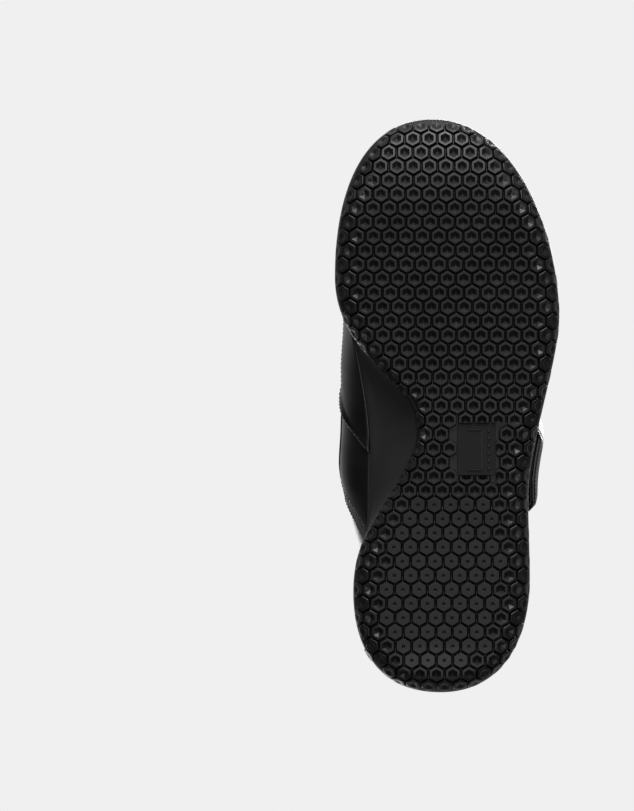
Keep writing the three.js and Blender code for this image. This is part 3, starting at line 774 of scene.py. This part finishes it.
def rounded_bar(cx, cy, half_x, half_y, radius, low, high, points, faces):
    """A raised pad with round corners; low and high are depths under the ground face."""
    corner = [(1, 1, 0), (-1, 1, 90), (-1, -1, 180), (1, -1, 270)]
    rim = []
    for sx, sy, first in corner:
        for step in range(5):
            a = math.radians(first + step * 22.5)
            rim.append((cx + sx * (half_x - radius) + math.cos(a) * radius,
                        cy + sy * (half_y - radius) + math.sin(a) * radius))
    rim = np.array(rim)
    middle = np.array([cx, cy])
    start, n = len(points), len(rim)
    for shrink, depth in ((0.0, low), (0.05, high + 0.2), (0.22, high)):
        ring = rim + unit(middle - rim) * shrink
        for x, y in ring:
            points.append([x, y, float(ground_line(y)) + depth])
    faces += ring_faces(start, 3, n)


def make_plaque():
    """The blank maker's plaque at the waist: a smooth pad, an open frame and plain studs."""
    x0, y0, x1, y1 = PLAQUE
    points, faces = [], []
    cx, cy = (x0 + x1) / 2, (y0 + y1) / 2
    rounded_bar(cx, cy, (x1 - x0) / 2, (y1 - y0) / 2, 0.7, 2.4, 1.1, points, faces)
    pad = mesh_from("outsole_plaque", points, faces)
    points, faces = [], []
    left, right, top, end = x0 + 4.6, x0 + 12.2, y0 + 3.2, y1 - 3.0
    stroke = 0.32
    for bar in (((left + right) / 2, top, (right - left) / 2, stroke),
                ((left + right) / 2, end, (right - left) / 2, stroke),
                (right, (top + end) / 2, stroke, (end - top) / 2)):
        rounded_bar(*bar, 0.3, 1.4, 0.55, points, faces)
    for k in range(6):
        rounded_bar(x1 - 3.4, mix(top + 0.6, end - 0.6, k / 5), 0.8, 0.8, 0.78, 1.4, 0.55,
                    points, faces)
    return pad, mesh_from("outsole_plaque_relief", points, faces)


def make_outsole():
    parts = [outsole_body(), make_lugs(), *make_plaque()]
    for part in parts[1:]:
        tidy(part, 1e-7)
        modifier = part.modifiers.new("soft_edges", "EDGE_SPLIT")
        modifier.split_angle = math.radians(24)
    for part in parts:
        put(part, "matt_rubber" if part.name == "outsole_plaque" else "rubber")
    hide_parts("outsole")


# ---- Midsole ----
def make_midsole():
    rows = 150
    u = np.linspace(0, 1, rows + 1)[:, None]

    def flank(phi):
        k = np.array([0.0, 0.02, 0.06, 0.1, 0.14, 0.19, 0.26, 0.36, 0.48, 0.6, 0.72, 0.84, 0.93, 1.0])
        lx, ly, nx, ny = lip_line.at(phi)
        rx, ry, rnx, rny = sole_line.at(phi, 0.55)
        arch = arch_share(phi, ry)
        lip_z = bed_line(ly) - 0.35
        rim_z = ground_line(ry) + mix(EDGE_HEIGHT, ARCH_EDGE, arch) + CLEARANCE * 0.4
        hollow = np.sin(np.pi * k) ** 0.8 * mix(0.5, 2.4, arch)
        bead = 0.45 * np.exp(-((k - 0.06) / 0.045) ** 2) - 0.25 * np.exp(-((k - 0.17) / 0.04) ** 2)
        x = mix(lx, rx, k) - rnx * hollow + nx * bead
        y = mix(ly, ry, k) - rny * hollow + ny * bead
        return stack(x, y, mix(lip_z, rim_z, k))
    under = across_sole(lambda roll, crisp: OUTSOLE_SKIN + CLEARANCE + 0 * roll, rows)
    under[..., 2] += CLEARANCE * 0.5
    low = np.concatenate([flank(-u), under, flank(u)[:, ::-1]], 1)
    v = np.linspace(0, 1, low.shape[1])[None, :]
    ax, ay, _, _ = lip_line.at(-u, 0.35)
    bx, by, _, _ = lip_line.at(u, 0.35)
    y = mix(ay, by, v)
    bed = stack(mix(ax, bx, v), y, bed_line(y) - 0.12)
    obj = slab("midsole_foam", low, bed, ("u0", "u1"))
    put(obj, "foam", "midsole")


def bed_layer(name, look, node_name, inset, low, high, start=-138.0, end=138.0, crown=0.0):
    s0, s1 = station(start), station(end)
    folds = [key for key, hit in (("u0", start <= -138), ("u1", end >= 138)) if hit]
    u, v = np.meshgrid(np.linspace(0, 1, 100), np.linspace(0, 1, 34), indexing="ij")
    s = mix(s0, s1, u)
    ax, ay, _, _ = upper_line.at(-s, inset)
    bx, by, _, _ = upper_line.at(s, inset)
    y = mix(ay, by, v)
    x = mix(ax, bx, v)
    rim = 1 - np.abs(2 * v - 1) ** 6
    top = stack(x, y, bed_line(y) + high(y) - 0.5 * (1 - rim) + crown * (1 - rim) * ease(y, -20, 40))
    bottom = stack(x, y, bed_line(y) + low(y))
    obj = slab(name, top, bottom, folds, uv=np.stack([x, y], -1))
    return put(obj, look, node_name)


def heel_lift(y):
    return (HEEL_CUSHION + CLEARANCE) * ease(y, 30, 56)


# ---- Upper ----
puff_out = -LEATHER - LAYER_GAP
lining_start = LEATHER + STIFFENER + 2 * LAYER_GAP
overlay_out = OVERLAY + 0.1


def patch_y(phi):
    return upper_line.at(phi)[1]


def front_shell(name, look, node_name, outer, inner, share=1.0):
    obj = layer(name, fixed(inner_side(THROAT) * share), fixed(outer_side(THROAT) * share),
                fixed(0.0), fixed(1.0), outer, inner, nu=150, nv=64, folds=("v1",))
    return put(obj, look, node_name)


def quarter_top(phi):
    return mix(THROAT_EDGE, 1.0, collar_share(patch_y(phi)))


def pad_depth(t, phi):
    return (COLLAR_FOAM + LAYER_GAP) * ease(t, 0.44, 0.6) * collar_share(patch_y(phi))


def collar_swell(phi, t):
    """The padded collar stands out softly between its seam and the top edge."""
    band = np.sin(np.pi * np.clip((t - 0.62) / 0.38, 0, 1)) ** 0.8
    return 1.0 * band * collar_share(patch_y(phi))


def over_vamp(t, phi):
    """The quarters lie over the vamp's rear edge, then step down to their own level."""
    return (LEATHER + 0.1) * ease(THROAT + 5 - patch_y(phi), 0, 4)


def make_quarters():
    gap = 0.004
    for name, side, sign in (("inner_quarter", inner_side, -1), ("outer_quarter", outer_side, 1)):
        obj = layer(name + "_leather", fixed(side(THROAT - 6)), fixed(sign * (1 - gap)),
                    fixed(0.0), quarter_top, over_vamp,
                    lambda t, phi: over_vamp(t, phi) - LEATHER, nu=130, nv=60,
                    shape=collar_swell, uneven=0.12)
        put(obj, "leather", name)


def overlay(name, look, node_name, side, front, rear, top, low=0.012, outer=None, inner=None):
    obj = layer(name, lambda v: side(mix(front[0], front[1], v)),
                lambda v: side(mix(rear[0], rear[1], v)), fixed(low), fixed(top),
                overlay_out if outer is None else outer, 0.1 if inner is None else inner,
                nu=70, nv=36, roll=1.2, uneven=0.05)
    return put(obj, look, *([node_name] if node_name else []))


OVERLAY_TOP = 0.38


def make_overlays():
    lower, upper = OVERLAY - 0.4, OVERLAY + 1.1
    overlay("inner_rear_overlay_leather", "leather", "inner_rear_overlay", inner_side,
            (19, -9), (65, 38), OVERLAY_TOP, outer=lower, inner=0.15)

    def stepped(t, phi):
        """The front overlay climbs over the rear one along their shared edge."""
        y = patch_y(phi)
        edge = mix(24.0, -5.0, np.clip((t - 0.1) / (OVERLAY_TOP - 0.1), 0, 1))
        return mix(overlay_out, upper, ease(edge - y, 10, 3))
    overlay("inner_front_overlay_leather", "leather", "inner_front_overlay", inner_side,
            (-44, -45.5), (24, -5), OVERLAY_TOP, outer=stepped,
            inner=lambda t, phi: stepped(t, phi) - 1.5)
    overlay("inner_ribbed_webbing", "ribbed", "inner_ribbed_band", inner_side,
            (62, 35), (73, 47), OVERLAY_TOP, outer=1.1, inner=0.12)
    overlay("outer_front_overlay_leather", "leather", "outer_front_overlay", outer_side,
            (-44, -45.5), (6, 2), OVERLAY_TOP)
    heel = layer("heel_overlay_leather", lambda v: outer_side(mix(88, 118, v)),
                 lambda v: around_heel(mix(88, 118, v)), fixed(0.012), fixed(0.84),
                 overlay_out, LAYER_GAP, nu=110, nv=50, uneven=0.05)
    put(heel, "leather", "heel_overlay")
    tab = layer("heel_pull_webbing", fixed(outer_side(136.6)), fixed(around_heel(136.6)),
                fixed(0.845), fixed(1.0), overlay_out + 0.5, 0.35, nu=30, nv=24)
    put(tab, "ribbed", "heel_pull_tab")


def make_inside():
    front_shell("toe_puff_board", "board", "toe_puff", puff_out, puff_out - STIFFENER, 2 / 3)
    lining = lining_start + 0.2
    front_shell("vamp_lining_cloth", "lining", "vamp_lining", -lining, -lining - LINING)
    back = (fixed(outer_side(THROAT + 0.5)), fixed(around_heel(THROAT + 0.5)))
    cloth = layer("quarter_lining_cloth", *back, fixed(0.0), quarter_top,
                  lambda t, phi: -lining_start - pad_depth(t, phi),
                  lambda t, phi: -lining_start - LINING - pad_depth(t, phi), nu=200, nv=50)
    put(cloth, "lining", "quarter_lining")
    stiff = layer("counter_stiffener_board", fixed(outer_side(84)), fixed(around_heel(84)),
                  fixed(0.0), fixed(0.62), puff_out, puff_out - STIFFENER, nu=80, nv=24)
    put(stiff, "board", "counter_stiffener")
    pad = layer("collar_padding", fixed(outer_side(58)), fixed(around_heel(58)),
                fixed(0.62), fixed(0.97), -0.15 - LEATHER,
                lambda t, phi: 0.4 - lining_start - pad_depth(t, phi), nu=110, nv=26, roll=2.6)
    put(pad, "padding", "collar_pad")
    rim = layer("collar_binding", fixed(outer_side(THROAT - 3)), fixed(around_heel(THROAT - 3)),
                lambda phi: quarter_top(phi) - 0.024, lambda phi: quarter_top(phi) + 0.003,
                lambda t, phi: 0.4 + over_vamp(t, phi) + 0.8 * collar_share(patch_y(phi)),
                lambda t, phi: -lining_start - LINING - 0.2 - pad_depth(t, phi),
                nu=260, nv=8, roll=2.0)
    put(rim, "leather")


# ---- Strap ----
ANCHOR_SHARE, END_SHARE = 0.44, 0.16
strap_front = profile([(-1, -3), (-0.4, -17), (0, -21), (0.4, -11), (0.78, 10.5), (1, 11)])
hook_out = LOOP + 2 * LAYER_GAP
RIDGE_EASE = 13  # carries the strap's edges over the instep ridge without a corner


def strap_place(along, across, trim):
    end = np.where(along < 0, ANCHOR_SHARE, END_SHARE)
    t = 1 - np.abs(along) * (1 - end)
    y = strap_front(along) + mix(trim, STRAP_WIDTH - trim, across)
    y = y + RIDGE_EASE * (np.hypot(along, 0.2) - np.abs(along)) * mix(0.6, 1.2, across)
    return np.where(along < 0, inner_side(y), outer_side(y)), t


def strap_stand(along, across=0.5):
    """How far the strap stands off: over the fastener it is high, with its edges drawn down."""
    over_tongue = mix(LAYER_GAP, 1.4, ease(along, -0.9, -0.3))
    high = mix(over_tongue, hook_out + HOOK + CLEARANCE, ease(along, 0.3, 0.55))
    edge = np.minimum(across, 1 - across) * STRAP_WIDTH
    return high - 2.0 * ease(along, 0.3, 0.6) * (1 - ease(edge, 0.5, 4.0))


def strap_surface(along, across, trim, rise):
    """A point of the strap, raised off the upper's outside face by rise."""
    phi, t = strap_place(along, across, trim)
    return on_upper(phi, t, rise)


def strap_sheet(name, first, last, low, high, trim, nu, nv, roll, corner=0.0, follow=True,
                puff=0.0):
    """A band of the strap between two rises; corner rounds the free end, follow lifts it."""
    length = 150 * (last - first) / 2
    width = STRAP_WIDTH - 2 * trim
    u, v = np.meshgrid(stops(nu, length), stops(nv, width), indexing="ij")
    along = mix(first, last, u)
    from_end = (1 - u) * length
    side = np.minimum(v, 1 - v) * width
    if corner:
        bite = np.clip(1 - from_end / corner, 0, 1)
        tuck = corner * (1 - np.sqrt(1 - bite ** 2))
        v = np.clip(v, tuck / width, 1 - tuck / width)
    rolled = edge_roll(u, v, length, width, roll)
    stand = strap_stand(along, v) if follow else 0.0
    bulge = puff * (1 + 1.6 * ease(along, 0.3, 0.7))
    swell = bulge * ease(side, 0, 9) * ease(from_end, 0, 9)
    lifted = 0.9 * ease(along, 0.8, 1.0) * ease(v, 0.6, 1.0) if follow else 0.0
    thick = high - low
    top = strap_surface(along, v, trim, stand + lifted + low + thick * (0.3 + 0.7 * rolled)
                        + swell * rolled)
    bottom = strap_surface(along, v, trim, stand + lifted + low + 0 * u)
    return slab(name, top, bottom, uv=np.stack([u * length, v * width], -1))


def make_strap():
    leather_low = STRAP_LINING + CLEARANCE * 0.4
    leather = strap_sheet("strap_leather", -1, 1, leather_low, leather_low + STRAP_LEATHER, 0,
                          150, 40, 1.2, corner=5.0, puff=0.5)
    lining = strap_sheet("strap_backing", -0.94, 0.985, 0.0, STRAP_LINING, 0.9, 120, 30, 0.6, 4.0)
    hooks = strap_sheet("strap_hooks", 0.6, 0.97, hook_out - 0.15, hook_out + HOOK, 3, 50, 40,
                        0.7, follow=False)
    loops = strap_sheet("loop_pile", 0.5, 0.99, 0.2, LAYER_GAP + LOOP, 4, 60, 40, 0.8,
                        follow=False)
    for patch, size in ((hooks, 0.10), (loops, 0.16)):
        roughen(patch, size)
    for obj, look, nodes in ((leather, "leather", "strap"), (lining, "lining", "strap_lining"),
                             (hooks, "pile", "hook_patch")):
        put(obj, look, nodes, body="strap")
    put(loops, "pile", "loop_patch")


def roughen(obj, size):
    """Stands the fibres of a pile patch up unevenly, the same way each run."""
    rng = np.random.default_rng(7)
    co = np.zeros(len(obj.data.vertices) * 3)
    obj.data.vertices.foreach_get("co", co)
    normals = np.zeros_like(co)
    obj.data.vertices.foreach_get("normal", normals)
    shift = rng.uniform(-size, size, len(co) // 3) * MM
    co += normals * np.repeat(shift, 3)
    obj.data.vertices.foreach_set("co", co)
    obj.data.update()


# ---- Tongue ----
TONGUE_FRONT, TONGUE_BACK, TONGUE_SIDE = -49, 54, 0.82


def tongue_sheet(name, low, high, trim, crown, roll):
    u, v = np.meshgrid(stops(90, 92), stops(44, 42), indexing="ij")
    side = 2 * v - 1
    y = mix(TONGUE_FRONT + trim, TONGUE_BACK - trim, u) - 10 * np.abs(side) ** 1.5 * ease(u, 0.6, 1)
    narrow = np.sqrt(1 - 0.5 * np.clip((u - 0.78) / 0.22, 0, 1) ** 2.5)
    t = 1 - np.abs(side) * narrow * (1 - TONGUE_SIDE) * (1 - trim * 0.04)
    phi = np.where(side < 0, inner_side(y), outer_side(y))
    rolled = edge_roll(u, v, 92, 42, roll)
    back = ease(u, 0.55, 0.9)
    swell = crown * (1 - np.abs(side) ** 3) * back
    top = on_upper(phi, t, -low - (high - low) * 0.5 * (1 - rolled) + swell * rolled, True)
    bottom = on_upper(phi, t, -high + (high - low) * 0.35 * (1 - rolled), True)
    return slab(name, top, bottom, uv=np.stack([u * 92, v * 42], -1))


def make_tongue():
    start = CLEARANCE
    foam = start + TONGUE_SKIN
    under = foam + TONGUE_FOAM + 2 * CLEARANCE
    cover = tongue_sheet("tongue_leather", start, foam + 0.2, 0, 0.9, 2.4)
    pad = tongue_sheet("tongue_padding", foam + 0.1, under, 0.8, 0.8, 2.0)
    cloth = tongue_sheet("tongue_cloth", under - 0.1, under + LINING, 0, 0.0, 1.6)
    for obj, look, nodes in ((cover, "leather", "tongue_cover"), (pad, "padding", "tongue_foam"),
                             (cloth, "lining", "tongue_lining")):
        put(obj, look, nodes, body="tongue")


# ---- Stitching ----
STITCH_PITCH, STITCH_LENGTH, THREAD_WIDTH, STITCH_RISE = 2.15, 1.55, 0.4, 0.02
STITCH_SIDES = 6
# Rings of one stitch as (place along it, girth, lift), as shares
STITCH_RINGS = [(-1.0, 0.25, -0.5), (-0.7, 0.8, 0.0), (0.0, 1.0, 0.35), (0.7, 0.8, 0.0),
                (1.0, 0.25, -0.5)]


def stitch_row(name, body, path, normals):
    """Separate stitches laid along a path of points, as slightly sunk ovals of thread."""
    steps = np.linalg.norm(np.diff(path, axis=0), axis=1)
    travel = np.concatenate([[0], np.cumsum(steps)])
    count = int(travel[-1] / STITCH_PITCH)
    at = (np.arange(count) + 0.5) * travel[-1] / count
    place = np.stack([np.interp(at, travel, path[:, i]) for i in range(3)], -1)
    ahead = np.stack([np.interp(at + 0.3, travel, path[:, i]) for i in range(3)], -1)
    n = unit(np.stack([np.interp(at, travel, normals[:, i]) for i in range(3)], -1))
    along = unit(ahead - place + 1e-9)
    side = unit(np.cross(n, along))
    points, faces = [], []
    turn = 2 * np.pi * np.arange(STITCH_SIDES) / STITCH_SIDES
    for p, a, s, up in zip(place, along, side, n):
        start = len(points)
        for reach, girth, lift in STITCH_RINGS:
            across = np.cos(turn)[:, None] * girth * THREAD_WIDTH / 2
            above = np.sin(turn)[:, None] * girth * THREAD_WIDTH / 2 + STITCH_RISE + lift * 0.14
            points.extend(p + a * reach * STITCH_LENGTH / 2 + s * across + up * above)
        faces += ring_faces(start, len(STITCH_RINGS), STITCH_SIDES)
    return put(tidy(mesh_from(name, points, faces), 1e-8), "thread", body=body)


def seam(name, of, start, end, inset):
    """Stitches on a layer, between two (u, v) corners pulled in from the edges by inset."""
    info = layers[of]
    k = np.linspace(0, 1, 240)
    u = mix(start[0], end[0], k)
    v = mix(start[1], end[1], k)
    u = np.clip(u, inset / info["lu"], 1 - inset / info["lu"])
    v = np.clip(v, inset / info["lv"], 1 - inset / info["lv"])
    phi, t = info["place"](u, v)
    outer = info["outer"](t, phi) if callable(info["outer"]) else info["outer"]
    if info["shape"] is not None:
        outer = outer + info["shape"](phi, t)
    n = rib_normal(phi, t)
    return stitch_row(name, "upper", rib_point(phi, t) + n * np.asarray(outer)[..., None], n)


def make_stitching():
    front = "inner_front_overlay_leather"
    rear = "inner_rear_overlay_leather"
    outer = "outer_front_overlay_leather"
    heel = "heel_overlay_leather"
    vamp = "vamp_leather"
    for name, of, a, b, inset in (
            ("stitch_front_top", front, (0, 1), (1, 1), 1.1),
            ("stitch_front_rear", front, (1, 1), (1, 0), 1.1),
            ("stitch_front_toe", front, (0, 0), (0, 1), 1.1),
            ("stitch_rear_top", rear, (0.16, 1), (1, 1), 1.1),
            ("stitch_rear_rear", rear, (1, 1), (1, 0), 1.1),
            ("stitch_webbing", "inner_ribbed_webbing", (1, 1), (1, 0), 1.0),
            ("stitch_outer_top", outer, (0, 1), (1, 1), 1.1),
            ("stitch_outer_rear", outer, (1, 1), (1, 0), 1.1),
            ("stitch_outer_toe", outer, (0, 0), (0, 1), 1.1),
            ("stitch_heel_outer", heel, (0, 0), (0, 1), 1.2),
            ("stitch_heel_top", heel, (0, 1), (1, 1), 1.2),
            ("stitch_heel_inner", heel, (1, 1), (1, 0), 1.2),
            ("stitch_vamp_inner", vamp, (0, 0), (0, 1), 1.3),
            ("stitch_vamp_outer", vamp, (1, 1), (1, 0), 1.3),
            ("stitch_throat_inner", "inner_quarter_leather", (0, 1), (0.5, 1), 2.0),
            ("stitch_throat_outer", "outer_quarter_leather", (0, 1), (0.5, 1), 2.0),
            ("stitch_collar_inner", "inner_quarter_leather", (0.5, 0.9), (1, 0.9), 1.0),
            ("stitch_collar_outer", "outer_quarter_leather", (0.5, 0.9), (1, 0.9), 1.0)):
        seam(name, of, a, b, inset)
    strap_stitches()


def strap_stitches():
    """A single row round the strap, 1.7 mm in from its long edges, and a box over the anchor."""
    rise = STRAP_LINING + CLEARANCE * 0.4 + STRAP_LEATHER + 0.05
    margin = 1.7 / STRAP_WIDTH
    reach = 1.9 / 75
    routes = {
        "front": ([-1 + reach, 1 - 5 / 75], [margin, margin]),
        "rear": ([-1 + reach, 1 - 5 / 75], [1 - margin, 1 - margin]),
        "end": ([1 - reach, 1 - reach], [5 / STRAP_WIDTH, 1 - 5 / STRAP_WIDTH]),
        "anchor": ([-1 + reach, -1 + reach], [margin, 1 - margin]),
        "anchor_box": ([-0.9, -0.9], [margin, 1 - margin]),
        "hook_line": ([0.58, 0.58], [margin, 1 - margin]),
    }
    for name, (along, across) in routes.items():
        k = np.linspace(0, 1, 260)
        a, b = mix(along[0], along[1], k), mix(across[0], across[1], k)
        lifted = 0.9 * ease(a, 0.8, 1.0) * ease(b, 0.6, 1.0)
        phi, t = strap_place(a, b, 0)
        path = on_upper(phi, t, strap_stand(a, b) + lifted + rise)
        stitch_row("stitch_strap_" + name, "strap", path, rib_normal(phi, t))


# ---- Stage, light and camera ----
def make_stage():
    mesh = bpy.data.meshes.new("floor")
    half = 3.0
    mesh.from_pydata([(-half, -half, 0), (half, -half, 0), (half, half, 0), (-half, half, 0)], [],
                     [(0, 1, 2, 3)])
    floor = link("floor", mesh)
    material, tree, shader = new_material("pale_floor")
    feed(tree, shader, Base_Color=(0.83, 0.83, 0.83, 1), Roughness=0.9, Specular_IOR_Level=0.1,
         Emission_Color=(1, 1, 1, 1), Emission_Strength=0.3)
    clear = tree.nodes.new("ShaderNodeBsdfTransparent")
    choose = tree.nodes.new("ShaderNodeMixShader")
    side = tree.nodes.new("ShaderNodeNewGeometry")
    tree.links.new(side.outputs["Backfacing"], choose.inputs["Fac"])
    tree.links.new(shader.outputs[0], choose.inputs[1])
    tree.links.new(clear.outputs[0], choose.inputs[2])
    tree.links.new(choose.outputs[0], tree.nodes["Material Output"].inputs["Surface"])
    mesh.materials.append(material)
    floor.visible_shadow = False
    floor.visible_diffuse = False
    floor.visible_glossy = False


# The room's light by height: 1 is straight up, 0 level, -1 straight down
SKY = [(-1.0, 0.32), (-0.75, 0.23), (-0.4, 0.03), (0.15, 0.06), (0.5, 0.6), (1.0, 0.62)]


def make_world():
    world = bpy.data.worlds.new("studio")
    scene.world = world
    world.use_nodes = True
    tree = world.node_tree
    tree.nodes.clear()
    output = tree.nodes.new("ShaderNodeOutputWorld")
    seen = node(tree, "ShaderNodeBackground", Color=(0.871, 0.871, 0.871, 1), Strength=1.0)
    up = tree.nodes.new("ShaderNodeTexCoord")
    split = tree.nodes.new("ShaderNodeSeparateXYZ")
    tree.links.new(up.outputs["Generated"], split.inputs[0])
    share = node(tree, "ShaderNodeMapRange", From_Min=-1.0, From_Max=1.0)
    tree.links.new(split.outputs["Z"], share.inputs["Value"])
    level = tree.nodes.new("ShaderNodeValToRGB")
    tree.links.new(share.outputs[0], level.inputs["Fac"])
    while len(level.color_ramp.elements) < len(SKY):
        level.color_ramp.elements.new(0.5)
    for element, (height, light) in zip(level.color_ramp.elements, SKY):
        element.position = (height + 1) / 2
        element.color = (light, light, light, 1)
    lit = node(tree, "ShaderNodeBackground", Color=(1, 1, 1, 1), Strength=1.0)
    tree.links.new(level.outputs["Color"], lit.inputs["Color"])
    choose = tree.nodes.new("ShaderNodeMixShader")
    rays = tree.nodes.new("ShaderNodeLightPath")
    tree.links.new(rays.outputs["Is Camera Ray"], choose.inputs["Fac"])
    tree.links.new(lit.outputs[0], choose.inputs[1])
    tree.links.new(seen.outputs[0], choose.inputs[2])
    tree.links.new(choose.outputs[0], output.inputs["Surface"])


def area_light(name, place, target, size, power):
    data = bpy.data.lights.new(name, "AREA")
    data.shape = "DISK"
    data.size = size
    data.energy = power
    light = bpy.data.objects.new(name, data)
    scene.collection.objects.link(light)
    light.location = place
    light.rotation_euler = (Vector(target) - Vector(place)).to_track_quat("-Z", "Y").to_euler()


def make_lights():
    area_light("toe_key", (0.05, -1.3, -0.8), (0, 0, 0), 0.8, 24)
    area_light("toe_low", (0, -1.5, -0.12), (0, 0, 0), 0.7, 9)
    area_light("under_fill", (0.25, 0.8, -1.6), (0, 0.05, 0), 1.0, 8)
    area_light("top_key", (0.35, -0.55, 1.7), (0, 0, 0.05), 1.1, 30)
    area_light("top_rim", (-0.6, 0.7, 1.6), (0, 0, 0.05), 1.0, 14)


SENSOR = 36  # mm
VIEW_HEIGHT = 0.4055  # how much of the sole's plane the camera sees, toe to heel
CAMERA_DISTANCE = 5.0
VIEW_CENTRE = -0.065  # the camera stands off to the shoe's inner side


def make_camera():
    data = bpy.data.cameras.new("camera")
    data.sensor_width = SENSOR
    data.lens = SENSOR * CAMERA_DISTANCE / VIEW_HEIGHT
    data.clip_end = 50
    camera = bpy.data.objects.new("camera", data)
    scene.collection.objects.link(camera)
    camera.location = (VIEW_CENTRE, 0, -CAMERA_DISTANCE)
    camera.rotation_euler = (math.pi, 0, 0)
    scene.camera = camera


def main():
    make_camera()
    make_world()
    make_lights()
    make_stage()
    make_outsole()
    make_midsole()
    base = BOARD + CLEARANCE
    bed_layer("insole_board_fibre", "board", "insole_board", BOARD_INSET, fixed(0.0), fixed(BOARD))
    bed_layer("heel_cushion_foam", "padding", "heel_cushion", BOARD_INSET + 4, fixed(base),
              fixed(base + HEEL_CUSHION), start=62.0)
    sock = bed_layer("sockliner_cloth", "sock", "sockliner", BOARD_INSET - 1.2,
                     lambda y: base + heel_lift(y), lambda y: base + heel_lift(y) + SOCKLINER,
                     crown=2.5)
    dress(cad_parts["shank"], "steel")
    front_shell("vamp_leather", "leather", "vamp", 0.0, -LEATHER)
    make_quarters()
    make_inside()
    make_overlays()
    make_tongue()
    make_strap()
    make_stitching()
    scene.view_settings.view_transform = "Standard"
    scene.view_settings.look = "None"


main()
